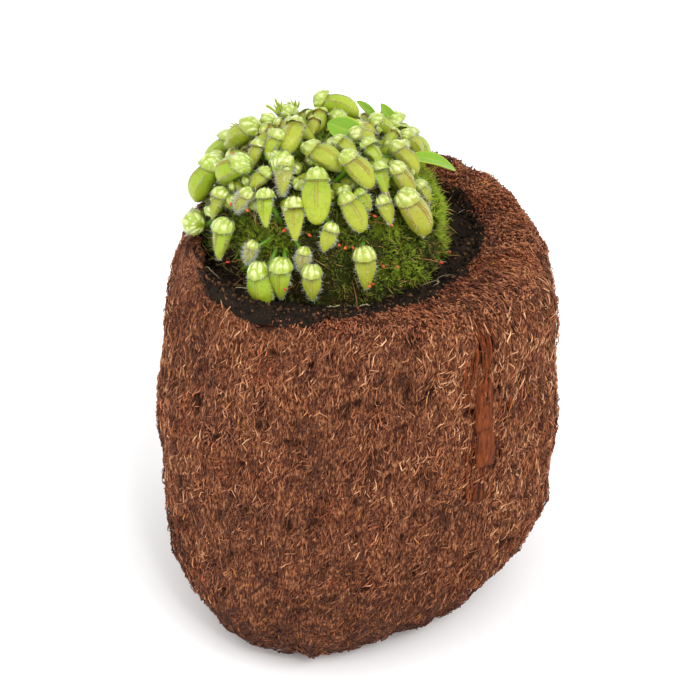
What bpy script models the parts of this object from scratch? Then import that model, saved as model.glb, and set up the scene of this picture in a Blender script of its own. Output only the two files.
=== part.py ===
"""Albany pitcher plant on a moss mound, growing in a hollowed block of fern root fibre.

Sizes are in millimetres and become metres where a mesh is made. X runs to the right,
-Y to the front and Z up. The origin is under the middle of the block, on the floor.
"""
import math
import random

import bmesh
import bpy
from mathutils import Quaternion, Vector, noise

MM = 0.001
CLEARANCE = 0.3            # gap between pieces that touch
ORIGIN_SHIFT = (-2.8, 1.9)  # moves the whole part so that the origin is under its middle

# Fibre block: height, mean radius, shift to the right, shift to the back
BLOCK_LEVELS = (
    (0, 57.5, -8, -3), (3, 63.5, -8, -3), (12, 74, -4.5, -3), (30, 82.5, -1.8, -2), (60, 86, 1.8, 0),
    (95, 84, 1.6, 0), (125, 80.5, 2.8, 0), (145, 78.2, 4.8, 0), (156, 76.4, 5.6, 0),
    (163, 74, 5.6, 0), (167, 68.4, 5.6, 0),
)
BLOCK_TOP = 167.0
BLOCK_SEGMENTS = 68
BLOCK_RINGS = 17
# Lobes of the outline: waves round the block, share of the radius, angle of a crest
TOP_LOBES = ((4, 0.030, 52), (3, 0.020, 215), (2, 0.012, -20))
BASE_LOBES = ((3, 0.055, -105), (4, 0.020, 52), (2, 0.030, -120))
LOBE_CHANGE = 110.0        # height where the base's outline has become the top's
FIBRE_RELIEF = 3.0
BUNDLE_RELIEF = 2.6         # upright bundles, one ridge to every second segment
BARK_STRIP = (-54.0, 11.0, 62.0, 132.0)  # angle, half width, lowest and highest height
BARK_LEDGES = (86.0, 106.0)

# Hollow in the top of the block, filled with peat
HOLLOW_CENTRE = (-5.5, 4.0)
HOLLOW_RADIUS = (59.5, 56.0)
HOLLOW_LOBE = (2, 0.05, -125)   # waves round it, share of the radius, angle of a crest
HOLLOW_EDGE = 161.5
HOLLOW_FLOOR = 128.0
PEAT_TOP = 156.0
PEAT_SEGMENTS = 44

# Moss mound, a dome on the peat
MOUND_CENTRE = Vector((-11.0, 4.0, 157.0))
MOUND_RADIUS = 49.5
MOUND_SEGMENTS = 46
MOUND_RINGS = 9
MOUND_FOOT = 1.6           # the mound's underside over the peat
MOSS_RELIEF = 2.0
# Broad changes of the dome: azimuth, slope, reach and height
MOSS_SWELLS = ((78, 52, 30, 3.0), (-50, 88, 26, -6.0))

# Crown stubs in their holes
STUB_RADIUS = 2.7
HOLE_DEPTH = 7.0
STUB_HEIGHT = 2.6
PETIOLE_RADIUS = 0.8
PETIOLE_LIFT = 1.8         # height of a stalk's middle line over the dome
PETIOLE_ARCH = 0.6
PETIOLE_END = (0.24, 0.34)  # where it meets its pitcher: share down its length, share of its depth back
ROOT_SINK = 1.4            # how deep stalks start below the top of the stub

# Proportions of a pitcher, as shares of its length
PITCHER_WIDTH = 0.50
PITCHER_DEPTH = 0.46
SLIM_WIDTH = 0.86          # width of a slim pitcher as a share of the others'
# Lids: length as a share of the pitcher's, half width as a share of its width
LIDS = {"grown": (0.50, 0.43), "slim": (0.54, 0.60), "young": (0.53, 0.54)}
LID_DOME = 0.20
LID_THICKNESS = 0.7
LID_OPENING = -18.0        # below nothing, the lid closes down over the front of the mouth
LID_HINGE = 0.06           # place of the hinge along the pitcher, and how far back it lies
LID_HINGE_BACK = 0.44
MOUTH_PLACE = 0.10
BODY_LENGTH = 0.80
SPAN = 0.82                # between the middle of the lid and the toe
BOW = 0.10                 # how far the body bows out of its front, as a share of its depth
MOUTH_LEAN = 0.05          # how much lower the front of the mouth is than its back
TOP_LIFT = 0.58            # height of the body's two ends over the moss, as shares of its width
TOE_LIFT = 0.30
SIDES = {"grown": 8, "slim": 7, "young": 6}
PITCHER_LIFT = 2.6         # lowest clearance between a pitcher and the moss
# Stations from the rim to the toe: distance along the body, share of the full width
GROWN_STATIONS = ((0.0, 0.84), (0.20, 0.98), (0.50, 1.0), (0.76, 0.82), (0.93, 0.48), (1.0, 0.0))
SLIM_STATIONS = ((0.0, 0.84), (0.18, 1.0), (0.45, 0.84), (0.72, 0.56), (0.93, 0.32), (1.0, 0.0))
YOUNG_STATIONS = ((0.0, 0.86), (0.30, 1.0), (0.70, 0.66), (1.0, 0.0))

# The crowns. Each has its azimuth (0 is the front, 90 the right) and slope (0 is the top
# of the mound, 90 its foot), then its pitchers: azimuth and slope of the lid, turn from
# straight downhill, length and kind.
CROWNS = {
    "crown_top": ((-40, 6), (
        (-18, 16, 80, 18, "grown"), (-100, 11, 75, 18, "grown"), (-176, 21, -92, 19, "grown"),
        (-150, 27, -10, 13, "young"), (-120, 25, 0, 15, "slim"), (-58, 15, -25, 13, "young"),
        (40, 10, 25, 12, "young"), (-34, 25, 10, 15, "slim"), (140, 12, 60, 12, "young"),
        (-86, 19, -20, 12, "young"),
    )),
    "crown_left": ((-88, 31), (
        (-88, 46, 0, 22, "grown"), (-60, 33, -45, 20, "grown"), (-104, 27, -10, 20, "grown"),
        (-106, 49, 5, 13, "young"), (-72, 23, 20, 12, "young"), (-47, 41, -15, 12, "young"),
        (-46, 31, -10, 12, "young"),
    )),
    "crown_left_low": ((-66, 56), (
        (-70, 67, -25, 21, "grown"), (-50, 56, 0, 18, "slim"), (-68, 47, 10, 14, "slim"),
    )),
    "crown_front_left": ((-24, 50), (
        (-27, 68, 0, 20, "grown"), (-17, 64, 0, 18, "slim"), (-5, 65, 5, 16, "slim"),
        (-33, 60, -10, 10, "young"), (-9, 57, 5, 10, "young"), (-34, 39, 15, 15, "slim"),
    )),
    "crown_front": ((0, 28), (
        (-3, 28, 10, 22, "grown"), (-16, 40, 15, 17, "slim"), (2, 48, -5, 12, "young"),
        (17, 22, 35, 18, "grown"), (15, 38, 20, 17, "grown"), (36, 24, 10, 13, "slim"), (27, 36, 15, 10, "young"),
    )),
    "crown_low": ((26, 55), (
        (19, 60, 0, 18, "slim"),
    )),
    "crown_right": ((56, 37), (
        (50, 44, 12, 22, "grown"), (54, 33, 12, 16, "grown"), (38, 42, 0, 12, "young"),
        (70, 46, 5, 11, "young"), (47, 29, -12, 14, "slim"),
    )),
    "crown_right_top": ((84, 22), (
        (84, 30, -14, 16, "grown"), (112, 22, 12, 14, "grown"), (58, 19, -5, 14, "slim"), (98, 14, 30, 12, "young"),
        (70, 12, 40, 13, "young"), (116, 38, -3, 14, "grown"),
    )),
}
# Crowns on the far side follow a rule: azimuth and slope of each, pitchers in a fan below
BACK_CROWNS = {"crown_back_left": ((-143, 52), 6), "crown_back_right": ((152, 42), 6)}
BACK_SPREAD = 115.0        # half of the fan's width in degrees
BACK_REACH = 15.0          # slope between a back crown and its lids
BACK_LENGTHS = (15.0, 20.0)
SEED = 7

# How crossing pitchers are moved apart: gap between crowns (those of one crown may overlap as
# much), share of an overlap and of the way home taken in a round, margin to the hollow's wall
PITCHER_GAP = 0.6
PUSH = 0.3
HOMING = 0.04
WALL_MARGIN = 0.8

# Flat leaves: crown, foot and tip of the blade, width, arch as a share of the length, and
# how far the face is rolled from facing out of the mound
LEAVES = (
    ("crown_right_top", (8.1, 0.0, 209.0), (-9.0, 7.0, 213.0), 10.5, 0.07, -50.0),
    ("crown_back_right", (19.2, 26.2, 195.6), (12.2, 25.6, 211.4), 6.0, 0.04, -75.0),
    ("crown_back_right", (11.1, 30.0, 201.0), (2.6, 28.0, 211.0), 4.0, 0.04, -60.0),
    ("crown_right_top", (19.5, 0.0, 200.5), (42.0, 6.0, 191.5), 7.5, 0.12, 0.0),
    ("crown_back_right", (-9.3, 53.9, 181.3), (-9.1, 57.0, 165.5), 9.0, 0.10, 0.0),
)
LEAF_FOLD = 0.10
LEAF_THICKNESS = 0.7
LEAF_STALK_ARCH = 1.5


def direction(azimuth, slope):
    """Unit vector from the mound's centre towards an azimuth and slope."""
    a, s = math.radians(azimuth), math.radians(slope)
    return Vector((math.sin(s) * math.sin(a), -math.sin(s) * math.cos(a), math.cos(s)))


def travel(start, turn, distance):
    """Unit vector reached from start along the dome, turn degrees from straight downhill."""
    side = Vector((-start.y, start.x, 0.0))
    side = side.normalized() if side.length > 1e-6 else Vector((1.0, 0.0, 0.0))
    down = side.cross(start).normalized()
    if down.z > 0:
        down.negate()
    heading = down * math.cos(math.radians(turn)) + side * math.sin(math.radians(turn))
    return (start * math.cos(distance) + heading * math.sin(distance)).normalized()


class Pitcher:
    """One pitcher: where its lid and toe are, and the axes of its body."""

    def __init__(self, crown, azimuth, slope, turn, length, kind):
        self.crown, self.length, self.kind = crown, length, kind
        self.width = length * PITCHER_WIDTH * (SLIM_WIDTH if kind == "slim" else 1.0)
        self.depth = self.width * PITCHER_DEPTH / PITCHER_WIDTH
        lid = direction(azimuth, slope)
        toe = travel(lid, turn, SPAN * length / MOUND_RADIUS)
        self.top = MOUND_CENTRE + lid * (MOUND_RADIUS + PITCHER_LIFT + TOP_LIFT * self.width)
        self.toe = MOUND_CENTRE + toe * (MOUND_RADIUS + PITCHER_LIFT + TOE_LIFT * self.width)
        self.home = (self.top.copy(), self.toe.copy())

    def reach(self, t):
        """Radius of the space that the pitcher needs at t from its top to its toe."""
        return self.width * (0.56 - 0.20 * t)

    def axes(self):
        """Along the body to the toe, out of its front, and across it."""
        along = (self.toe - self.top).normalized()
        out = (self.top + self.toe) / 2 - MOUND_CENTRE
        out = (out - along * out.dot(along)).normalized()
        return along, out, along.cross(out)


def closest(first, second):
    """Nearest points of two pitchers' middle lines, as shares from top to toe."""
    best = None
    for i in range(5):
        for j in range(5):
            s, t = i / 4, j / 4
            gap = first.top.lerp(first.toe, s) - second.top.lerp(second.toe, t)
            room = gap.length - first.reach(s) - second.reach(t)
            if best is None or room < best[0]:
                best = (room, s, t, gap)
    return best


def keep_inside(end, margin):
    """Moves an end that hangs below the rim in from the hollow's wall."""
    if end.z - margin > BLOCK_TOP + 1.0:
        return
    centre = Vector((*HOLLOW_CENTRE, end.z))
    across = end - centre
    wall = hollow_point(math.atan2(across.y / HOLLOW_RADIUS[1], across.x / HOLLOW_RADIUS[0]), margin)
    room = (wall + Vector((0, 0, end.z)) - centre).length
    if across.length > room:
        end -= across * (1 - room / across.length)


def settle(pitchers, rounds=70):
    """Moves pitchers that would cross apart, and keeps them off the moss."""
    for _ in range(rounds):
        for i, first in enumerate(pitchers):
            for second in pitchers[i + 1:]:
                if (first.top - second.top).length > 40:
                    continue
                room, s, t, gap = closest(first, second)
                wanted = PITCHER_GAP if first.crown != second.crown else -PITCHER_GAP
                if room < wanted and gap.length > 1e-6:
                    push = gap.normalized() * (wanted - room) * PUSH
                    first.top += push * (1 - s)
                    first.toe += push * s
                    second.top -= push * (1 - t)
                    second.toe -= push * t
        for one in pitchers:
            for end, share, home in ((one.top, TOP_LIFT, one.home[0]), (one.toe, TOE_LIFT, one.home[1])):
                end += (home - end) * HOMING
                out = end - MOUND_CENTRE
                least = MOUND_RADIUS + PITCHER_LIFT + share * one.width
                if out.length < least:
                    end += out.normalized() * (least - out.length)
                end.z = max(end.z, PEAT_TOP + 2.0 + share * one.width)
                keep_inside(end, share * one.width + WALL_MARGIN)
            body = one.toe - one.top
            one.toe += body.normalized() * (SPAN * one.length - body.length) * 0.5
    return pitchers


def layout():
    """All the crowns with their pitchers: name to (foot direction, pitchers)."""
    draw = random.Random(SEED)
    crowns, everything = {}, []
    for name, (place, rows) in CROWNS.items():
        crowns[name] = (direction(*place), [Pitcher(name, *row) for row in rows])
    for name, (place, count) in BACK_CROWNS.items():
        foot, fan = direction(*place), []
        for k in range(count):
            turn = BACK_SPREAD * (2 * k / (count - 1) - 1) + draw.uniform(-12, 12)
            lid = travel(foot, turn, math.radians(BACK_REACH + draw.uniform(-4, 5)))
            azimuth = math.degrees(math.atan2(lid.x, -lid.y))
            slope = math.degrees(math.acos(lid.z))
            length = draw.uniform(*BACK_LENGTHS)
            fan.append(Pitcher(name, azimuth, slope, turn * 0.35, length, "grown" if k % 3 else "slim"))
        crowns[name] = (foot, fan)
    for _, pitchers in crowns.values():
        everything += pitchers
    settle(everything)
    return crowns


def clear_scene():
    for obj in list(bpy.data.objects):
        bpy.data.objects.remove(obj)


def principled(name, colour, roughness):
    material = bpy.data.materials.new(name)
    material.use_nodes = True
    shader = material.node_tree.nodes["Principled BSDF"]
    shader.inputs["Base Color"].default_value = (*colour, 1.0)
    shader.inputs["Roughness"].default_value = roughness
    shader.inputs["Metallic"].default_value = 0.0
    material.diffuse_color = (*colour, 1.0)
    return material


def loft(rings):
    """Points and faces of a closed skin over rings; a ring of one point is a tip."""
    points, starts, faces = [], [], []
    for ring in rings:
        starts.append(len(points))
        points += ring
    for k in range(len(rings) - 1):
        a, b, low, high = starts[k], starts[k + 1], len(rings[k]), len(rings[k + 1])
        for i in range(max(low, high)):
            j = (i + 1) % max(low, high)
            if low == 1:
                faces.append((a, b + j, b + i))
            elif high == 1:
                faces.append((a + i, a + j, b))
            else:
                faces.append((a + i, a + j, b + j, b + i))
    if len(rings[0]) > 1:
        faces.append(tuple(range(len(rings[0])))[::-1])
    if len(rings[-1]) > 1:
        faces.append(tuple(starts[-1] + i for i in range(len(rings[-1]))))
    return points, faces


def add_object(name, points, faces, material=None, collection=None):
    """A closed object from millimetre points, with its faces turned out."""
    mesh = bpy.data.meshes.new(name)
    shift = Vector((*ORIGIN_SHIFT, 0.0))
    mesh.from_pydata([(p + shift) * MM for p in points], [], faces)
    bm = bmesh.new()
    bm.from_mesh(mesh)
    bmesh.ops.recalc_face_normals(bm, faces=bm.faces)
    bm.to_mesh(mesh)
    bm.free()
    obj = bpy.data.objects.new(name, mesh)
    (collection or bpy.context.scene.collection).objects.link(obj)
    if material:
        mesh.materials.append(material)
    return obj


def drop_pockets(mesh):
    """Fills the closed pockets inside a mesh: shells whose faces enclose less than nothing."""
    bm = bmesh.new()
    bm.from_mesh(mesh)
    left = set(bm.faces)
    while left:
        shell, queue = set(), [left.pop()]
        while queue:
            face = queue.pop()
            shell.add(face)
            near = {other for edge in face.edges for other in edge.link_faces if other in left}
            left -= near
            queue += near
        volume = sum(a.co.dot(b.co.cross(c.co)) for face in shell
                     for a, b, c in ((face.verts[0], *pair) for pair in zip(face.verts[1:], face.verts[2:])))
        if volume < 0:
            bmesh.ops.delete(bm, geom=list(shell), context="FACES")
    bm.to_mesh(mesh)
    bm.free()


def combine(target, pieces, operation):
    """Joins or cuts the target with a collection of pieces, which is then removed."""
    cut = target.modifiers.new("combine", "BOOLEAN")
    cut.operation = operation
    cut.operand_type = "COLLECTION"
    cut.collection = pieces
    cut.solver = "EXACT"
    bpy.context.view_layer.update()
    graph = bpy.context.evaluated_depsgraph_get()
    result = bpy.data.meshes.new_from_object(target.evaluated_get(graph))
    target.modifiers.clear()
    drop_pockets(result)
    target.data = result
    for piece in list(pieces.objects):
        bpy.data.objects.remove(piece)
    bpy.data.collections.remove(pieces)


def finish(obj, material, sharp=50.0):
    """Keeps one material and shades the faces smooth up to the sharp angle."""
    obj.data.materials.clear()
    obj.data.materials.append(material)
    obj.data.shade_smooth()
    obj.data.set_sharp_from_angle(angle=math.radians(sharp))


def level_at(height):
    """Radius and shifts of the block's outline at a height."""
    for low, high in zip(BLOCK_LEVELS, BLOCK_LEVELS[1:]):
        if height <= high[0]:
            t = (height - low[0]) / (high[0] - low[0])
            return [a + (b - a) * t for a, b in zip(low[1:], high[1:])]
    return list(BLOCK_LEVELS[-1][1:])


def lobes(angle, height):
    """Share by which the outline swells at an angle and height."""
    t = min(1.0, height / LOBE_CHANGE)
    t = t * t * (3 - 2 * t)
    swell = sum(t * a * math.cos(k * (angle - math.radians(p))) for k, a, p in TOP_LOBES)
    return 1 + swell + sum((1 - t) * a * math.cos(k * (angle - math.radians(p))) for k, a, p in BASE_LOBES)


def fibre_relief(x, y, z):
    """Bundles of root fibre: long upright ridges over broader lumps, and the bark strip."""
    angle = math.degrees(math.atan2(y, x))
    ridges = noise.ridged_multi_fractal(Vector((x * 0.075, y * 0.075, z * 0.020)), 1.0, 2.1, 2, 1.0, 2.0)
    lumps = noise.noise(Vector((x, y, z)) * 0.03)
    relief = FIBRE_RELIEF * (0.75 * (ridges - 1.1) + 0.9 * lumps)
    bundles = noise.noise(Vector((x * 0.05, y * 0.05, z * 0.025)))
    relief += BUNDLE_RELIEF * bundles * math.cos(math.radians(angle) * BLOCK_SEGMENTS / 2)
    strip, half, low, high = BARK_STRIP
    inside = max(0.0, 1 - abs(angle - strip) / half) if low < z < high else 0.0
    if inside > 0:
        ledge = sum(1.0 for level in BARK_LEDGES if z > level)
        relief += (1.4 * ledge - 2.6 - relief) * min(1.0, inside * 3)
    return relief


def block_point(angle, height, share=1.0):
    """A point of the block's outer skin; share below 1 moves it in towards the hollow."""
    radius, dx, dy = level_at(height)
    radius *= lobes(angle, height)
    x, y = dx + radius * math.cos(angle), dy + radius * math.sin(angle)
    relief = fibre_relief(x, y, height) * min(1.0, height / 6.0)
    edge = Vector((x + relief * math.cos(angle), y + relief * math.sin(angle), height))
    inner = hollow_point(angle, 0.0)
    return edge.lerp(Vector((inner.x, inner.y, height)), 1 - share)


def hollow_point(angle, gap):
    """A point of the hollow's wall, moved in by a gap, at no height."""
    waves, share, crest = HOLLOW_LOBE
    swell = 1 + share * math.cos(waves * (angle - math.radians(crest)))
    return Vector((HOLLOW_CENTRE[0] + (HOLLOW_RADIUS[0] * swell - gap) * math.cos(angle),
                   HOLLOW_CENTRE[1] + (HOLLOW_RADIUS[1] * swell - gap) * math.sin(angle), 0.0))


def make_block(material):
    """The hollowed block, from its flat base up the outside and down into the hollow."""
    rings = []
    angles = [math.tau * j / BLOCK_SEGMENTS for j in range(BLOCK_SEGMENTS)]
    heights = [0.0, 3.0, 9.0]
    heights += [9.0 + (BLOCK_TOP - 9.0) * k / (BLOCK_RINGS - 3) for k in range(1, BLOCK_RINGS - 2)]
    for height in heights:
        rings.append([block_point(angle, height) for angle in angles])
    for share, drop in ((0.5, 0.6), (0.18, 2.2)):
        rings.append([block_point(angle, BLOCK_TOP, share) + Vector((0, 0, rim_wave(angle) - drop))
                      for angle in angles])
    for height, gap in ((HOLLOW_EDGE, 0.0), (PEAT_TOP - 6.0, 2.0), (HOLLOW_FLOOR, 5.0)):
        rings.append([hollow_point(angle, gap) + Vector((0, 0, height)) for angle in angles])
    block = add_object("fibre_block", *loft(rings), material)
    finish(block, material, 60.0)
    return block


def rim_wave(angle):
    """Uneven height of the rim, in torn lumps."""
    return 1.3 * noise.noise(Vector((math.cos(angle) * 2.4, math.sin(angle) * 2.4, 5.0)))


def make_peat(material):
    """The peat that fills the hollow, flat under the mound and crumbly round it."""
    rings = []
    angles = [math.tau * j / PEAT_SEGMENTS for j in range(PEAT_SEGMENTS)]
    wall = ((HOLLOW_FLOOR + CLEARANCE, 5.0 + 2 * CLEARANCE), (PEAT_TOP - 6.0, 2.0 + 2 * CLEARANCE),
            (PEAT_TOP - 0.5, 1.5 + 2 * CLEARANCE))
    for height, gap in wall:
        rings.append([hollow_point(angle, gap) + Vector((0, 0, height)) for angle in angles])
    for share in (0.6, 0.25):
        ring = []
        for angle in angles:
            rim = hollow_point(angle, 2.0)
            foot = MOUND_CENTRE + Vector((math.cos(angle), math.sin(angle), 0)) * (MOUND_RADIUS - 2)
            spot = Vector((foot.x, foot.y, 0)).lerp(rim, share)
            crumb = noise.noise(Vector((spot.x, spot.y, 0)) * 0.16)
            ring.append(Vector((spot.x, spot.y, PEAT_TOP + 0.3 * share + crumb * 1.4)))
        rings.append(ring)
    rings.append([Vector((MOUND_CENTRE.x + (MOUND_RADIUS - 4) * math.cos(angle),
                          MOUND_CENTRE.y + (MOUND_RADIUS - 4) * math.sin(angle), PEAT_TOP)) for angle in angles])
    peat = add_object("peat", *loft(rings), material)
    finish(peat, material)
    return peat


def moss_relief(way):
    """Height of the moss cushions above the plain dome."""
    lumps = noise.fractal(way * 3.4, 0.8, 2.0, 2)
    swell = 0.0
    for azimuth, slope, reach, height in MOSS_SWELLS:
        apart = math.degrees(way.angle(direction(azimuth, slope)))
        swell += height * math.exp(-2 * (apart / reach) ** 2)
    return MOSS_RELIEF * (lumps - 0.45) + swell


def make_mound(crowns, material):
    """The moss mound, with a plain hole for every crown."""
    rings = []
    foot = PEAT_TOP + MOUND_FOOT
    for k in range(MOUND_RINGS):
        slope = 90.0 * (1 - k / MOUND_RINGS)
        ring = []
        for j in range(MOUND_SEGMENTS):
            way = direction(360.0 * (j + 0.5 * (k % 2)) / MOUND_SEGMENTS, slope)
            spot = MOUND_CENTRE + way * (MOUND_RADIUS + moss_relief(way) * min(1.0, 0.4 + (90 - slope) / 27))
            spot.z = max(spot.z, foot + 0.1)
            ring.append(spot)
        rings.append(ring)
    floor = [Vector((p.x, p.y, foot)) + (Vector((MOUND_CENTRE.x, MOUND_CENTRE.y, foot)) - p) * 0.05
             for p in rings[0]]
    for p in floor:
        p.z = foot
    top = direction(0, 0)
    rings = [floor] + rings + [[MOUND_CENTRE + top * (MOUND_RADIUS + moss_relief(top))]]
    mound = add_object("moss_mound", *loft(rings), material)
    holes = bpy.data.collections.new("holes")
    bpy.context.scene.collection.children.link(holes)
    for name, (way, _) in crowns.items():
        low = MOUND_CENTRE + way * (MOUND_RADIUS - HOLE_DEPTH)
        high = MOUND_CENTRE + way * (MOUND_RADIUS + 8)
        add_object("hole_" + name, *tube([low, high], [STUB_RADIUS + 1.4 * CLEARANCE] * 2, 8, way), None, holes)
    combine(mound, holes, "DIFFERENCE")
    finish(mound, material)
    return mound


def tube(path, radii, sides, up=Vector((0, 0, 1))):
    """A closed tube through the path's points; a radius of nothing makes a tip."""
    rings = []
    for k, point in enumerate(path):
        before, after = path[max(0, k - 1)], path[min(len(path) - 1, k + 1)]
        along = (after - before).normalized()
        across = along.cross(up if abs(along.dot(up)) < 0.95 else Vector((1, 0.2, 0))).normalized()
        over = across.cross(along)
        if radii[k] == 0:
            rings.append([point])
            continue
        turns = [math.tau * (i + 0.5) / sides for i in range(sides)]
        rings.append([point + (across * math.cos(t) + over * math.sin(t)) * radii[k] for t in turns])
    return loft(rings)


def body_shape(pitcher, hollow):
    """The pitcher's body: belly, toe, three ribs down the front, and an open mouth."""
    along, out, across = pitcher.axes()
    stations = {"grown": GROWN_STATIONS, "slim": SLIM_STATIONS, "young": YOUNG_STATIONS}[pitcher.kind]
    sides = SIDES[pitcher.kind]
    body = pitcher.length * BODY_LENGTH
    mouth = pitcher.top + along * pitcher.length * MOUTH_PLACE
    rings = []

    def ring(t, share, tilt):
        bow = out * pitcher.depth * BOW * math.sin(math.pi * t)
        centre = mouth + along * body * t + bow
        points = []
        for i in range(sides):
            angle = math.tau * i / sides
            rib = 1.09 if i == 0 else 1.03 if i in (1, sides - 1) else 1.0
            reach = share * (rib if t > 0 else 1.0)
            lean = along * tilt * math.cos(angle) * pitcher.length
            points.append(centre + lean + out * (math.cos(angle) * reach * pitcher.depth / 2)
                          + across * (math.sin(angle) * reach * pitcher.width / 2))
        return points

    if hollow:
        rings.append([mouth + along * body * 0.5])
        rings.append(ring(0.16, 0.58, 0.8 * MOUTH_LEAN))
        rings.append(ring(0.0, 0.62, MOUTH_LEAN))
    for t, share in stations[:-1]:
        rings.append(ring(t, share, MOUTH_LEAN * (1 - t)))
    rings.append([mouth + along * body])
    return loft(rings)


def lid_shape(pitcher):
    """The domed lid, hinged at the back of the mouth."""
    along, out, across = pitcher.axes()
    sides = SIDES[pitcher.kind]
    opening = math.radians(LID_OPENING)
    forward = out * math.cos(opening) - along * math.sin(opening)
    up = -along * math.cos(opening) - out * math.sin(opening)
    hinge = pitcher.top + along * pitcher.length * LID_HINGE - out * pitcher.depth * LID_HINGE_BACK
    long, wide = LIDS[pitcher.kind]
    size, width = pitcher.length * long / 2, pitcher.width * wide
    centre = hinge + forward * size * 0.98

    def ring(share, height):
        return [centre + forward * (math.cos(math.tau * i / sides) * size * share) + up * height
                + across * (math.sin(math.tau * i / sides) * width * share) for i in range(sides)]

    dome = pitcher.length * LID_DOME
    outside = [ring(1.0, LID_THICKNESS * 0.6), ring(0.66, dome * 0.78), [centre + up * dome]]
    if pitcher.kind == "young":
        return loft([ring(0.92, -0.2), ring(0.95, dome * 0.45), [centre + up * dome]])
    if pitcher.kind == "slim":
        return loft([ring(0.92, -0.2)] + outside)
    return loft([[centre + up * (dome - LID_THICKNESS)], ring(0.92, -0.2)] + outside)


def petiole_shape(foot, pitcher):
    """The stalk from the crown to the back of the mouth, arched over the moss."""
    along, out, _ = pitcher.axes()
    start = MOUND_CENTRE + foot * (MOUND_RADIUS + STUB_HEIGHT - ROOT_SINK)
    down, back = PETIOLE_END
    end = pitcher.top + along * pitcher.length * down - out * pitcher.depth * back
    path = [start]
    for t in (0.3, 0.62):
        way = (start.lerp(end, t) - MOUND_CENTRE).normalized()
        lift = PETIOLE_LIFT + PETIOLE_ARCH * math.sin(math.pi * t)
        path.append(MOUND_CENTRE + way * (MOUND_RADIUS + lift))
    path.append(end)
    return tube(path, [PETIOLE_RADIUS * 1.3, PETIOLE_RADIUS, PETIOLE_RADIUS, PETIOLE_RADIUS], 3, foot)


def leaf_shape(start, tip, width, arch, roll):
    """A flat oval leaf: one arched blade, split into the same triangles on both faces."""
    start, tip = Vector(start), Vector(tip)
    length = (tip - start).length
    heading = (tip - start).normalized()
    out = (start + tip) / 2 - MOUND_CENTRE
    out = (out - heading * out.dot(heading)).normalized()
    out.rotate(Quaternion(heading, math.radians(roll)))
    across = heading.cross(out)
    spread = ((0.0, 0.10), (0.25, 0.66), (0.5, 1.0), (0.78, 0.82), (1.0, 0.10))
    rings = []
    for t, share in spread:
        middle = start + heading * length * t + out * arch * length * math.sin(math.pi * t)
        half = across * width / 2 * share
        fold = out * width * LEAF_FOLD * share
        thick = out * LEAF_THICKNESS
        rings.append([middle - half + fold, middle, middle + half + fold,
                      middle + half + fold + thick, middle + thick, middle - half + fold + thick])
    return loft(rings), heading


def make_crown(name, foot, pitchers, material):
    """One crown: its stub in the moss, with the stalks, pitchers and leaves fused on."""
    low = MOUND_CENTRE + foot * (MOUND_RADIUS - HOLE_DEPTH + CLEARANCE)
    high = MOUND_CENTRE + foot * (MOUND_RADIUS + STUB_HEIGHT)
    crown = add_object(name, *tube([low, high], [STUB_RADIUS] * 2, 8, foot), material)
    pieces = bpy.data.collections.new(name + "_pieces")
    bpy.context.scene.collection.children.link(pieces)
    for k, pitcher in enumerate(pitchers):
        label = f"{name}_{k}_"
        hollow = pitcher.kind == "grown"
        add_object(label + "body", *body_shape(pitcher, hollow), None, pieces)
        add_object(label + "lid", *lid_shape(pitcher), None, pieces)
        add_object(label + "stalk", *petiole_shape(foot, pitcher), None, pieces)
    for k, (owner, *row) in enumerate(LEAVES):
        if owner != name:
            continue
        blade, heading = leaf_shape(*row)
        add_object(f"{name}_leaf_{k}", *blade, None, pieces)
        root = MOUND_CENTRE + foot * (MOUND_RADIUS + STUB_HEIGHT - ROOT_SINK)
        start = Vector(row[0])
        middle = root.lerp(start, 0.5) + ((root + start) / 2 - MOUND_CENTRE).normalized() * LEAF_STALK_ARCH
        add_object(f"{name}_leafstalk_{k}", *tube([root, middle, start, start + heading * 2.2],
                   [PETIOLE_RADIUS * 1.2, PETIOLE_RADIUS, PETIOLE_RADIUS, PETIOLE_RADIUS * 0.8], 4, foot), None, pieces)
    combine(crown, pieces, "UNION")
    finish(crown, material, 40.0)
    return crown


def main():
    clear_scene()
    fibre = principled("root fibre", (0.16, 0.07, 0.035), 0.9)
    peat = principled("peat", (0.03, 0.02, 0.015), 0.95)
    moss = principled("moss", (0.12, 0.16, 0.03), 0.9)
    leaf = principled("pitcher leaf", (0.40, 0.50, 0.08), 0.35)
    crowns = layout()
    make_block(fibre)
    make_peat(peat)
    make_mound(crowns, moss)
    for name, (foot, pitchers) in crowns.items():
        make_crown(name, foot, pitchers, leaf)


main()
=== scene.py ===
"""Looks of an Albany pitcher plant on its moss mound, in a hollowed block of root fibre.

Sizes are in millimetres and become metres where a mesh is made. X runs to the right,
-Y to the front and Z up, as in the part's own frame.
"""

import math
import random
from functools import cache
from itertools import product

import bpy
import numpy as np
from bpy.props import FloatProperty, FloatVectorProperty, IntProperty, PointerProperty
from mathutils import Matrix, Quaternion, Vector, noise


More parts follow.
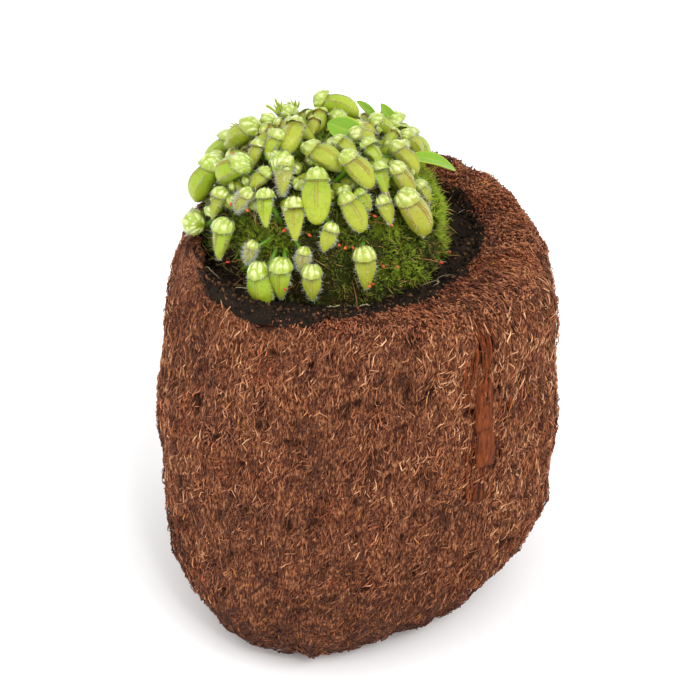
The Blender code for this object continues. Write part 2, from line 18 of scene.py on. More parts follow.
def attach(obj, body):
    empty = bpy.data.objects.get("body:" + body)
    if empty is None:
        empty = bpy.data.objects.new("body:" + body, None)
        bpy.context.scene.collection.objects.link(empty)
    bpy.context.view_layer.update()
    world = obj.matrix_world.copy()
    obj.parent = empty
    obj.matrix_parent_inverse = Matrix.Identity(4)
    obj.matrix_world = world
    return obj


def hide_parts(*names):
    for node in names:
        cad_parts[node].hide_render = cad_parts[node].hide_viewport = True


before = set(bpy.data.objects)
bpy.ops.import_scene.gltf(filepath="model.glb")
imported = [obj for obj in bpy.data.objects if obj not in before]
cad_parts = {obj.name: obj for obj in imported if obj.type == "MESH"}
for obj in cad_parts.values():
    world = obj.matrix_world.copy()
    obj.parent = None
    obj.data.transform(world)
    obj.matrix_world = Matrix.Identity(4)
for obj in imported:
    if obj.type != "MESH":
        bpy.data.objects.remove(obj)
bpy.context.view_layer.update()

bl_info = {
    "name": "Albany Pitcher Plant",
    "version": (1, 0, 0),
    "blender": (4, 5, 0),
    "location": "3D View > Sidebar > Pitcher Plant",
    "description": "Dresses a pitcher plant on moss, peat and a block of root fibre",
    "category": "Object",
}

MM = 0.001
SHIFT = np.array((-2.8, 1.9, 0.0))  # moves the whole part so that its origin is under its middle

# Fibre block: height, mean radius, shift to the right, shift to the back
BLOCK_LEVELS = (
    (0, 57.5, -8, -3), (3, 63.5, -8, -3), (12, 74, -4.5, -3), (30, 82.5, -1.8, -2), (60, 86, 1.8, 0),
    (95, 84, 1.6, 0), (125, 80.5, 2.8, 0), (145, 78.2, 4.8, 0), (156, 76.4, 5.6, 0),
    (163, 74, 5.6, 0), (167, 68.4, 5.6, 0),
)
BLOCK_TOP = 167.0
BLOCK_SEGMENTS = 68
BLOCK_RINGS = 17
TOP_LOBES = ((4, 0.030, 52), (3, 0.020, 215), (2, 0.012, -20))
BASE_LOBES = ((3, 0.055, -105), (4, 0.020, 52), (2, 0.030, -120))
LOBE_CHANGE = 110.0
FIBRE_RELIEF = 3.0
BUNDLE_RELIEF = 2.6
BARK_STRIP = (-54.0, 11.0, 62.0, 132.0)  # angle, half width, lowest and highest height
BARK_LEDGES = (86.0, 106.0)

# Hollow in the top of the block, filled with peat
HOLLOW_CENTRE = (-5.5, 4.0)
HOLLOW_RADIUS = (59.5, 56.0)
HOLLOW_LOBE = (2, 0.05, -125)
HOLLOW_EDGE = 161.5
PEAT_TOP = 156.0

# Moss mound, a dome on the peat
MOUND_CENTRE = Vector((-11.0, 4.0, 157.0))
MOUND = np.array(MOUND_CENTRE)
MOUND_RADIUS = 49.5
MOUND_FOOT = 1.6           # height of the mound's foot over the peat
MOSS_RELIEF = 2.0
MOSS_SWELLS = ((78, 52, 30, 3.0), (-50, 88, 26, -6.0))

PETIOLE_LIFT = 0.8         # the stalks run through the moss
PETIOLE_END = (0.24, 0.34)

# Proportions of a pitcher, as shares of its length
PITCHER_WIDTH = 0.50
PITCHER_DEPTH = 0.46
SLIM_WIDTH = 0.86
# Lids: length as a share of the pitcher's, half width as a share of its width
LIDS = {"grown": (0.50, 0.43), "slim": (0.54, 0.60), "young": (0.53, 0.54)}
LID_DOME = 0.20
LID_OPENING = -9.0         # below nothing, the lid closes down towards the front of the mouth
LID_HINGE = 0.06
LID_HINGE_BACK = 0.44
MOUTH_PLACE = 0.10
BODY_LENGTH = 0.80
SPAN = 0.82                # between the middle of the lid and the toe
TOP_LIFT = 0.58            # height of the body's two ends over the moss, as shares of its width
TOE_LIFT = 0.30
PITCHER_LIFT = 2.6         # lowest clearance between a pitcher and the moss
BOW = 0.10                 # how far the middle of a body stands out, as a share of its depth
MOUTH_LEAN = 0.05
WINGS = {"grown": 0.14, "slim": 0.22, "young": 0.14}  # how far the side keels stand out
# Body outline of each kind: share at the mouth, where it is widest, two powers of its taper
OUTLINES = {"grown": (0.84, 0.45, 2.0, 0.5), "slim": (0.82, 0.18, 1.3, 0.6), "young": (0.86, 0.30, 1.8, 0.85)}

# The crowns: azimuth (0 is the front, 90 the right) and slope (0 is the mound's top) of the
# foot, then the pitchers: azimuth and slope of the lid, turn from downhill, length and kind
CROWNS = {
    "crown_top": ((-40, 6), (
        (-18, 16, 80, 18, "grown"), (-100, 11, 75, 18, "grown"), (-176, 21, -92, 19, "grown"),
        (-150, 27, -10, 13, "young"), (-120, 25, 0, 15, "slim"), (-58, 15, -25, 13, "young"),
        (40, 10, 25, 12, "young"), (-34, 25, 10, 15, "slim"), (140, 12, 60, 12, "young"),
        (-86, 19, -20, 12, "young"),
    )),
    "crown_left": ((-88, 31), (
        (-88, 46, 0, 22, "grown"), (-60, 33, -45, 20, "grown"), (-104, 27, -10, 20, "grown"),
        (-106, 49, 5, 13, "young"), (-72, 23, 20, 12, "young"), (-47, 41, -15, 12, "young"),
        (-46, 31, -10, 12, "young"),
    )),
    "crown_left_low": ((-66, 56), (
        (-70, 67, -25, 21, "grown"), (-50, 56, 0, 18, "slim"), (-68, 47, 10, 14, "slim"),
    )),
    "crown_front_left": ((-24, 50), (
        (-27, 68, 0, 20, "grown"), (-17, 64, 0, 18, "slim"), (-5, 65, 5, 16, "slim"),
        (-33, 60, -10, 10, "young"), (-9, 57, 5, 10, "young"), (-34, 39, 15, 15, "slim"),
    )),
    "crown_front": ((0, 28), (
        (-3, 28, 10, 22, "grown"), (-16, 40, 15, 17, "slim"), (2, 48, -5, 12, "young"),
        (17, 22, 35, 18, "grown"), (15, 38, 20, 17, "grown"), (36, 24, 10, 13, "slim"),
        (27, 36, 15, 10, "young"),
    )),
    "crown_low": ((26, 55), (
        (19, 60, 0, 18, "slim"),
    )),
    "crown_right": ((56, 37), (
        (50, 44, 12, 22, "grown"), (54, 33, 12, 16, "grown"), (38, 42, 0, 12, "young"),
        (70, 46, 5, 11, "young"), (47, 29, -12, 14, "slim"),
    )),
    "crown_right_top": ((84, 22), (
        (84, 30, -14, 16, "grown"), (112, 22, 12, 14, "grown"), (58, 19, -5, 14, "slim"),
        (98, 14, 30, 12, "young"), (70, 12, 40, 13, "young"), (116, 38, -3, 14, "grown"),
    )),
}
# Crowns on the far side follow a rule: azimuth and slope of each, pitchers in a fan below
BACK_CROWNS = {"crown_back_left": ((-143, 52), 6), "crown_back_right": ((152, 42), 6)}
BACK_SPREAD = 115.0        # half of the fan's width in degrees
BACK_REACH = 15.0          # slope between a back crown and its lids
BACK_LENGTHS = (15.0, 20.0)
SEED = 7

# How crossing pitchers are moved apart: gap between crowns (those of one crown may overlap as
# much), share of an overlap and of the way home taken in a round, margin to the hollow's wall
PITCHER_GAP = 0.6
PUSH = 0.3
HOMING = 0.04
WALL_MARGIN = 0.8

# Flat leaves: crown, foot and tip of the blade, width, arch as a share of the length, and
# how far the face is rolled from facing out of the mound
LEAVES = (
    ("crown_right_top", (8.1, 0.0, 209.0), (-9.0, 7.0, 213.0), 10.5, 0.07, -50.0),
    ("crown_back_right", (19.2, 26.2, 195.6), (12.2, 25.6, 211.4), 6.0, 0.04, -75.0),
    ("crown_back_right", (11.1, 30.0, 201.0), (2.6, 28.0, 211.0), 4.0, 0.04, -60.0),
    ("crown_right_top", (19.5, 0.0, 200.5), (42.0, 6.0, 191.5), 7.5, 0.12, 0.0),
    ("crown_back_right", (-9.3, 53.9, 181.3), (-9.1, 57.0, 165.5), 9.0, 0.10, 0.0),
)
LEAF_FOLD = 0.10
LEAF_STALK_ARCH = 1.5

# Lids that stand open: crown, azimuth and slope of the hinge, spin, tilt, size
SHELLS = (
    ("crown_front", -37, 30, 0, 62, 11.0), ("crown_back_left", -150, 33, 160, 30, 7.5),
    ("crown_back_right", 120, 38, 90, 30, 7.0),
)
# Combs of free teeth, the youngest lids: crown, azimuth and slope, size
COMBS = (
    ("crown_left", -122, 44, 7.0), ("crown_top", -144, 33, 7.0), ("crown_top", -157, 30, 5.0),
    ("crown_right_top", 159, 30, 6.0), ("crown_top", 170, 27, 5.0), ("crown_right_top", 128, 33, 5.0),
)
# Woolly young pitchers, by crown and number
WOOLLY = {("crown_front_left", 3), ("crown_front_left", 4), ("crown_left", 5), ("crown_top", 7)}

# Small pitchers that fill the gaps between the others: how many, their shortest and longest,
# and how far down the mound they stand at some azimuths, both in degrees
SPROUTS = 115
SPROUT_LENGTHS = (7.5, 12.0)
SPROUT_REACH = ((-180, 50), (-110, 54), (-70, 56), (-45, 45), (-15, 39), (0, 33), (40, 35), (70, 39),
                (110, 40), (180, 50))
SPROUT_ROOM = 4.3          # distance that a sprout keeps to the next one

# How far spilled peat covers the rim, outwards from the hollow, at some angles round it
SOIL_SPILL = ((-180, 5.5), (-161, 7.0), (-148, 8.0), (-134, 9.5), (-116, 14.0), (-96, 10.0), (-78, 6.0),
              (-55, 8.0), (-38, 4.5), (-15, 1.5), (60, 0.6), (140, 1.5), (180, 5.5))
# How far up the mound its foot is covered by peat: slope by azimuth
SOIL_FOOT = ((-180, 96), (-100, 92), (-86, 87), (-73, 79), (-54, 71), (-41, 76), (-28, 83), (-10, 85),
             (4, 88), (38, 88), (55, 89), (72, 87), (95, 90), (180, 96))
SOIL_BANK = 9.0            # how high the peat is heaped against the wall
SOIL_SIDE = -135.0         # the angle at which it is highest
SOIL_CRUMBS = (3000, 9000)  # on the mound's foot and on the rim, before they are thinned out

# Skins that the fine pieces grow on
SKIN_COLUMNS = 360
SKIN_STEP = 1.6
PEAT_COLUMNS, PEAT_ROWS = 220, 20
MOUND_COLUMNS = 192
MOUND_SLOPES = np.linspace(90, 1, 64)
MOSS_SINK = 0.9

# Fibres: run on the sides in degrees from level, with broad and small swings round it, how far
# single ones leave it, and the share and spread of those that stray
FIBRE_RUN = (84.0, 34.0, 22.0)
FIBRE_SPREAD = 11.0
STRAY_SHARE, STRAY_SPREAD = 0.16, 45.0
SHORT_SHARE = 0.58         # length of the short fibres, as a share of the long ones
RIM_HEIGHT = 161.0         # from here up the fibres are those of the rim

BARK_SHOWN = (4.2, 78.0, 160.0)   # half width in degrees, lowest and highest height of the bare bark
BARK_MIDDLE = -53.0
# Plates of bark: lowest and highest height, offset and half width in degrees, lift, tilt at the foot
BARK_PLATES = ((118, 140, -0.3, 2.7, 0.2, 0.9), (101, 120, 0.2, 2.8, 0.5, 1.3), (83, 92, -0.8, 1.8, 0.3, 0.6))
BARK_SLIPS = 60
BARK_TOP = 164.0
BARK_THICKNESS = 1.6

TUFT_BLADES = 12
LEAF_THICKNESS = 0.55
HAIR_WIDTH = 0.12
HAIR_SPREAD = 0.35
BODY_HAIRS, PLAIN_HAIRS = 44, 22      # on a body, besides those on its keels
LID_HAIRS = (46, 16)                  # on the edge of a lid, and of a plain one
WOOLLY_HAIRS = (420, 1.25)            # number, and share of the usual length
BEARD_HAIRS = (70, 1.1)               # the same for the hairs round the mouth of some sprouts
BEARDED_SHARE = 0.2
CAPSULES = 38
CAPSULES_IN_FRONT = 26
CAPSULE_FORM = (0.2, 0.75, 1.0, 1.0, 0.8, 0.45, 0.1)  # width from the foot to the tip
ROOTS_ON_PEAT = 26
DRY_THREADS = 9
# Withered pitchers: azimuth, slope, lift of the mouth, length, width
WITHERED = ((43, 40, 4.5, 9.0, 4.2), (-106, 56, 4.0, 6.0, 6.0), (150, 62, 4.0, 8.0, 4.0))
WITHERED_FOLDS = 8
# Their form: place along the length and share of the width, from the inside over the mouth
WITHERED_FORM = ((0.45, 0.2), (0.1, 0.62), (0.0, 0.8), (0.0, 1.0), (0.2, 0.98), (0.45, 0.85), (0.7, 0.62),
                 (0.9, 0.34), (0.99, 0.1))

# Camera at the photograph's angle
CAMERA_TARGET = (-0.0028, 0.0019, 0.1085)
CAMERA_ELEVATION = 35.5
CAMERA_DISTANCE = 0.95
CAMERA_LENS = 117.26


def linear(red, green, blue):
    """A colour for the shaders from screen values of 0 to 255."""
    return tuple(c / 12.92 if c <= 0.04045 else ((c + 0.055) / 1.055) ** 2.4
                 for c in (red / 255, green / 255, blue / 255))


def unit(vectors):
    """Vectors of length one, along the last axis."""
    vectors = np.asarray(vectors, float)
    return vectors / (np.linalg.norm(vectors, axis=-1, keepdims=True) + 1e-12)


def smooth(low, high, value):
    """Rises softly from 0 to 1 between low and high."""
    t = np.clip((np.asarray(value, float) - low) / (high - low), 0, 1)
    return t * t * (3 - 2 * t)


SCRAMBLE = np.array((73856093, 19349663, 83492791))


def mist(points, size, seed=0):
    """Smooth noise from -1 to 1 at points, with lumps about size across."""
    p = np.asarray(points, float) / size + 512.37
    cell = np.floor(p).astype(np.int64)
    f = p - cell
    f = f * f * (3 - 2 * f)
    total = 0.0
    for corner in range(8):
        offset = np.array((corner & 1, corner >> 1 & 1, corner >> 2))
        mixed = np.bitwise_xor.reduce((cell + offset) * SCRAMBLE, axis=-1) ^ (seed * 265443576)
        mixed = (mixed ^ (mixed >> 13)) * 1274126177 & 0x7fffffff
        value = ((mixed ^ (mixed >> 11)) & 0xffff) / 32767.5 - 1
        total = total + value * np.prod(np.where(offset == 1, f, 1 - f), axis=-1)
    return total


def wobble(seed, *axes, size=1.0):
    """The same noise over three values, each an array or a number."""
    return mist(np.stack(np.broadcast_arrays(*axes), -1), size, seed)


def per_point(values, points):
    """The value of each of many like shapes, repeated for all its points."""
    return np.repeat(values, len(points) // len(values))


def rows_of(name, table):
    """The rest of those rows of a table that begin with a crown's name."""
    return [row[1:] for row in table if row[0] == name]


# Layout of the crowns, as the part has it

def direction(azimuth, slope):
    """Unit vector from the mound's centre towards an azimuth and slope."""
    a, s = math.radians(azimuth), math.radians(slope)
    return Vector((math.sin(s) * math.sin(a), -math.sin(s) * math.cos(a), math.cos(s)))


def travel(start, turn, distance):
    """Unit vector reached from start along the dome, turn degrees from straight downhill."""
    side = Vector((-start.y, start.x, 0.0))
    side = side.normalized() if side.length > 1e-6 else Vector((1.0, 0.0, 0.0))
    down = side.cross(start).normalized()
    if down.z > 0:
        down.negate()
    heading = down * math.cos(math.radians(turn)) + side * math.sin(math.radians(turn))
    return (start * math.cos(distance) + heading * math.sin(distance)).normalized()


class Pitcher:
    """One pitcher: where its lid and toe are, and the axes of its body."""

    def __init__(self, crown, azimuth, slope, turn, length, kind):
        self.crown, self.length, self.kind = crown, length, kind
        self.width = length * PITCHER_WIDTH * (SLIM_WIDTH if kind == "slim" else 1.0)
        self.depth = self.width * PITCHER_DEPTH / PITCHER_WIDTH
        lid = direction(azimuth, slope)
        toe = travel(lid, turn, SPAN * length / MOUND_RADIUS)
        self.top = MOUND_CENTRE + lid * (MOUND_RADIUS + PITCHER_LIFT + TOP_LIFT * self.width)
        self.toe = MOUND_CENTRE + toe * (MOUND_RADIUS + PITCHER_LIFT + TOE_LIFT * self.width)
        self.home = (self.top.copy(), self.toe.copy())

    def reach(self, t):
        """Radius of the space that the pitcher needs at t from its top to its toe."""
        return self.width * (0.56 - 0.20 * t)

    def axes(self):
        """Along the body to the toe, out of its front, and across it."""
        along = (self.toe - self.top).normalized()
        out = (self.top + self.toe) / 2 - MOUND_CENTRE
        out = (out - along * out.dot(along)).normalized()
        return along, out, along.cross(out)


def closest(first, second):
    """Where two pitchers come nearest: the room, the shares from top to toe, and the gap."""
    found = []
    for s, t in product((0.0, 0.25, 0.5, 0.75, 1.0), repeat=2):
        gap = first.top.lerp(first.toe, s) - second.top.lerp(second.toe, t)
        found.append((gap.length - first.reach(s) - second.reach(t), s, t, gap))
    return min(found, key=lambda pair: pair[0])


def keep_inside(end, margin):
    """Moves an end that hangs below the rim in from the hollow's wall."""
    if end.z - margin > BLOCK_TOP + 1.0:
        return
    centre = Vector((*HOLLOW_CENTRE, end.z))
    across = end - centre
    wall = hollow_point(math.atan2(across.y / HOLLOW_RADIUS[1], across.x / HOLLOW_RADIUS[0]), margin)
    room = (wall + Vector((0, 0, end.z)) - centre).length
    if across.length > room:
        end -= across * (1 - room / across.length)


def settle(pitchers, rounds=70):
    """Moves pitchers that would cross apart, and keeps them off the moss."""
    for _ in range(rounds):
        for i, first in enumerate(pitchers):
            for second in pitchers[i + 1:]:
                if (first.top - second.top).length > 40:
                    continue
                room, s, t, gap = closest(first, second)
                wanted = PITCHER_GAP if first.crown != second.crown else -PITCHER_GAP
                if room < wanted and gap.length > 1e-6:
                    push = gap.normalized() * (wanted - room) * PUSH
                    first.top += push * (1 - s)
                    first.toe += push * s
                    second.top -= push * (1 - t)
                    second.toe -= push * t
        for one in pitchers:
            for end, share, home in ((one.top, TOP_LIFT, one.home[0]), (one.toe, TOE_LIFT, one.home[1])):
                end += (home - end) * HOMING
                out = end - MOUND_CENTRE
                least = MOUND_RADIUS + PITCHER_LIFT + share * one.width
                if out.length < least:
                    end += out.normalized() * (least - out.length)
                end.z = max(end.z, PEAT_TOP + 2.0 + share * one.width)
                keep_inside(end, share * one.width + WALL_MARGIN)
            body = one.toe - one.top
            one.toe += body.normalized() * (SPAN * one.length - body.length) * 0.5
    return pitchers


def layout():
    """All the crowns with their pitchers: name to (foot direction, pitchers)."""
    draw = random.Random(SEED)
    crowns, everything = {}, []
    for name, (place, rows) in CROWNS.items():
        crowns[name] = (direction(*place), [Pitcher(name, *row) for row in rows])
    for name, (place, count) in BACK_CROWNS.items():
        foot, fan = direction(*place), []
        for k in range(count):
            turn = BACK_SPREAD * (2 * k / (count - 1) - 1) + draw.uniform(-12, 12)
            lid = travel(foot, turn, math.radians(BACK_REACH + draw.uniform(-4, 5)))
            azimuth = math.degrees(math.atan2(lid.x, -lid.y))
            slope = math.degrees(math.acos(lid.z))
            length = draw.uniform(*BACK_LENGTHS)
            fan.append(Pitcher(name, azimuth, slope, turn * 0.35, length, "grown" if k % 3 else "slim"))
        crowns[name] = (foot, fan)
    for _, pitchers in crowns.values():
        everything += pitchers
    settle(everything)
    return crowns


# Form of the block, as the part has it

def level_at(height):
    """Radius and shifts of the block's outline at a height."""
    for low, high in zip(BLOCK_LEVELS, BLOCK_LEVELS[1:]):
        if height <= high[0]:
            t = (height - low[0]) / (high[0] - low[0])
            return [a + (b - a) * t for a, b in zip(low[1:], high[1:])]
    return list(BLOCK_LEVELS[-1][1:])


def lobes(angle, height):
    """Share by which the outline swells at an angle and height."""
    t = min(1.0, height / LOBE_CHANGE)
    t = t * t * (3 - 2 * t)
    swell = sum(t * a * math.cos(k * (angle - math.radians(p))) for k, a, p in TOP_LOBES)
    return 1 + swell + sum((1 - t) * a * math.cos(k * (angle - math.radians(p))) for k, a, p in BASE_LOBES)


def fibre_relief(x, y, z):
    """Bundles of root fibre: long upright ridges over broader lumps, and the bark strip."""
    angle = math.degrees(math.atan2(y, x))
    ridges = noise.ridged_multi_fractal(Vector((x * 0.075, y * 0.075, z * 0.020)), 1.0, 2.1, 2, 1.0, 2.0)
    lumps = noise.noise(Vector((x, y, z)) * 0.03)
    relief = FIBRE_RELIEF * (0.75 * (ridges - 1.1) + 0.9 * lumps)
    bundles = noise.noise(Vector((x * 0.05, y * 0.05, z * 0.025)))
    relief += BUNDLE_RELIEF * bundles * math.cos(math.radians(angle) * BLOCK_SEGMENTS / 2)
    strip, half, low, high = BARK_STRIP
    inside = max(0.0, 1 - abs(angle - strip) / half) if low < z < high else 0.0
    if inside > 0:
        ledge = sum(1.0 for level in BARK_LEDGES if z > level)
        relief += (1.4 * ledge - 2.6 - relief) * min(1.0, inside * 3)
    return relief


def block_point(angle, height, share=1.0):
    """A point of the block's outer skin; share below 1 moves it in towards the hollow."""
    radius, dx, dy = level_at(height)
    radius *= lobes(angle, height)
    x, y = dx + radius * math.cos(angle), dy + radius * math.sin(angle)
    relief = fibre_relief(x, y, height) * min(1.0, height / 6.0)
    edge = Vector((x + relief * math.cos(angle), y + relief * math.sin(angle), height))
    inner = hollow_point(angle, 0.0)
    return edge.lerp(Vector((inner.x, inner.y, height)), 1 - share)


def hollow_point(angle, gap):
    """A point of the hollow's wall, moved in by a gap, at no height."""
    waves, share, crest = HOLLOW_LOBE
    swell = 1 + share * math.cos(waves * (angle - math.radians(crest)))
    return Vector((HOLLOW_CENTRE[0] + (HOLLOW_RADIUS[0] * swell - gap) * math.cos(angle),
                   HOLLOW_CENTRE[1] + (HOLLOW_RADIUS[1] * swell - gap) * math.sin(angle), 0.0))


def rim_wave(angle):
    """Uneven height of the rim, in torn lumps."""
    return 1.3 * noise.noise(Vector((math.cos(angle) * 2.4, math.sin(angle) * 2.4, 5.0)))


def moss_relief(way):
    """Height of the moss cushions above the plain dome."""
    lumps = noise.fractal(way * 3.4, 0.8, 2.0, 2)
    swell = 0.0
    for azimuth, slope, reach, height in MOSS_SWELLS:
        apart = math.degrees(way.angle(direction(azimuth, slope)))
        swell += height * math.exp(-2 * (apart / reach) ** 2)
    return MOSS_RELIEF * (lumps - 0.45) + swell


# Meshes

class Heap:
    """Points, triangles and values at the points, gathered for one mesh."""

    def __init__(self):
        self.points, self.faces, self.slots, self.count = [], [], [], 0
        self.values = {"tone": [], "mark": [], "tip": []}

    def add(self, points, faces, slot=0, **values):
        """Adds millimetre points and triangles; tone, mark and tip feed the finish."""
        points = np.asarray(points, float).reshape(-1, 3)
        faces = np.asarray(faces, int).reshape(-1, 3)
        self.points.append(points)
        self.faces.append(faces + self.count)
        self.slots.append(np.full(len(faces), slot))
        for key, kept in self.values.items():
            kept.append(np.broadcast_to(np.asarray(values.get(key, 0.0), float).ravel(), len(points)))
        self.count += len(points)

    def build(self, name, materials, slot, *nodes):
        """One smooth-shaded piece, which rides on the part, for the nodes it stands for; slot is not used."""
        points = (np.concatenate(self.points) + SHIFT) * MM
        faces = np.concatenate(self.faces)
        if np.isnan(points).any():
            raise RuntimeError(f"{name} has points that aren't numbers")
        mesh = bpy.data.meshes.new(name)
        mesh.vertices.add(len(points))
        mesh.vertices.foreach_set("co", points.astype(np.float32).ravel())
        mesh.loops.add(faces.size)
        mesh.loops.foreach_set("vertex_index", faces.astype(np.int32).ravel())
        mesh.polygons.add(len(faces))
        mesh.polygons.foreach_set("loop_start", np.arange(0, faces.size, 3, dtype=np.int32))
        mesh.polygons.foreach_set("material_index", np.concatenate(self.slots).astype(np.int32))
        mesh.update(calc_edges=True)
        for key, kept in self.values.items():
            layer = mesh.attributes.new(key, "FLOAT", "POINT")
            layer.data.foreach_set("value", np.concatenate(kept).astype(np.float32))
        mesh.shade_smooth()
        for material in materials:
            mesh.materials.append(material)
        obj = bpy.data.objects.new(name, mesh)
        bpy.context.scene.collection.objects.link(obj)
        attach(obj, "root")
        if nodes:
            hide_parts(*nodes)


def grid_faces(rows, columns, closed=True):
    """Triangles over a grid of points, row by row; a closed one joins its last column to its first."""
    i, j = np.meshgrid(np.arange(rows - 1), np.arange(columns if closed else columns - 1), indexing="ij")
    k = (j + 1) % columns
    a, b, c, d = i * columns + j, i * columns + k, (i + 1) * columns + k, (i + 1) * columns + j
    return np.concatenate((np.stack((a, b, c), -1).reshape(-1, 3), np.stack((a, c, d), -1).reshape(-1, 3)))


def turned(rows, first=None, last=None):
    """A closed body from rings of points (rows, columns, 3), with a point at each end."""
    rows = np.asarray(rows, float)
    count, columns = rows.shape[:2]
    first = rows[0].mean(0) if first is None else first
    last = rows[-1].mean(0) if last is None else last
    points = np.concatenate((rows.reshape(-1, 3), [first, last]))
    j = np.arange(columns)
    k = (j + 1) % columns
    start, base = np.full(columns, count * columns), (count - 1) * columns
    caps = np.concatenate((np.stack((start, k, j), -1), np.stack((base + j, base + k, start + 1), -1)))
    return points, np.concatenate((grid_faces(count, columns), caps))


def slab(top, thickness):
    """A closed blade from a grid of points and the vectors down to its lower face."""
    rows, columns = top.shape[:2]
    count = rows * columns
    upper = grid_faces(rows, columns, False)
    edge = np.concatenate((np.arange(columns), np.arange(1, rows) * columns + columns - 1,
                           (rows - 1) * columns + np.arange(columns - 2, -1, -1),
                           np.arange(rows - 2, 0, -1) * columns))
    after = np.roll(edge, -1)
    sides = np.concatenate((np.stack((edge, edge + count, after), -1),
                            np.stack((after, edge + count, after + count), -1)))
    points = np.concatenate((top.reshape(-1, 3), (top - thickness).reshape(-1, 3)))
    return points, np.concatenate((upper, upper[:, ::-1] + count, sides))


def cross_axes(along, rough):
    """Two unit vectors across each direction; rough is the general direction of its shape."""
    side = unit(np.cross(along, np.eye(3)[np.argmin(np.abs(rough), axis=-1)]))
    return side, np.cross(side, along)


def copies(faces, count, size):
    """The faces of count like shapes, each of size points."""
    return (np.asarray(faces)[None] + (np.arange(count) * size)[:, None, None]).reshape(-1, 3)


def strands(paths, radii, sides=3):
    """Closed tubes that end in tips, from paths (count, stations, 3); also the place along each."""
    paths = np.asarray(paths, float)
    count, stations = paths.shape[:2]
    radii = np.broadcast_to(np.asarray(radii, float), (count, stations))
    along = unit(np.gradient(paths, axis=1))
    side, over = cross_axes(along, along.mean(1, keepdims=True))
    turns = np.arange(sides) * math.tau / sides
    ring = (side[:, 1:-1, None] * np.cos(turns)[:, None] + over[:, 1:-1, None] * np.sin(turns)[:, None])
    ring = paths[:, 1:-1, None] + ring * radii[:, 1:-1, None, None]
    inner = (stations - 2) * sides
    points = np.concatenate((ring.reshape(count, inner, 3), paths[:, :1], paths[:, -1:]), axis=1)
    j = np.arange(sides)
    k = (j + 1) % sides
    low, last = np.full(sides, inner), inner - sides
    caps = np.concatenate((np.stack((low, j, k), -1), np.stack((last + k, last + j, low + 1), -1)))
    faces = np.concatenate((grid_faces(stations - 2, sides)[:, ::-1], caps))
    places = np.append(np.repeat(np.arange(1, stations - 1), sides), (0, stations - 1)) / (stations - 1)
    return points.reshape(-1, 3), copies(faces, count, inner + 2), np.tile(places, count)


def spikes(roots, tips, width):
    """Three-sided closed spikes from roots to tips; also 0 at each root and 1 at each tip."""
    roots, tips = np.asarray(roots, float), np.asarray(tips, float)
    along = unit(tips - roots)
    side, over = cross_axes(along, along)
    radius = np.broadcast_to(np.asarray(width, float) / 2, len(roots))[:, None]
    corners = [roots + (side * math.cos(t) + over * math.sin(t)) * radius
               for t in (0.0, math.tau / 3, -math.tau / 3)]
    points = np.stack((*corners, tips), axis=1)
    faces = copies(((0, 1, 2), (1, 0, 3), (2, 1, 3), (0, 2, 3)), len(roots), 4)
    return points.reshape(-1, 3), faces, np.tile((0.0, 0.0, 0.0, 1.0), len(roots))


def lumps(centres, sizes, draw):
    """Small uneven crumbs of eight faces and six points, squeezed and turned at random."""
    corners = np.array(((1, 0, 0), (0, 1, 0), (-1, 0, 0), (0, -1, 0), (0, 0, 1), (0, 0, -1)), float)
    faces = [(k, (k + 1) % 4, 4) for k in range(4)] + [((k + 1) % 4, k, 5) for k in range(4)]
    count = len(centres)
    turn = unit(draw.normal(size=(count, 3)))
    other = unit(np.cross(turn, unit(draw.normal(size=(count, 3)))))
    frames = np.stack((turn, other, np.cross(turn, other)), axis=1)
    squeeze = draw.uniform(0.6, 1.0, (count, 1, 3)) * np.asarray(sizes)[:, None, None] / 2
    shape = corners[None] * (1 + draw.uniform(-0.35, 0.35, (count, 6, 1))) * squeeze
    points = np.einsum("nvi,nij->nvj", shape, frames) + np.asarray(centres)[:, None]
    return points.reshape(-1, 3), copies(faces, count, 6)


def arches(roots, lean, bend, size, stations):
    """Paths that leave their roots along lean and bend away, each of its own size."""
    t = np.linspace(0, 1, stations)[None, :, None]
    return roots[:, None] + (lean[:, None] * t + bend[:, None] * t ** 2) * size[:, None, None]


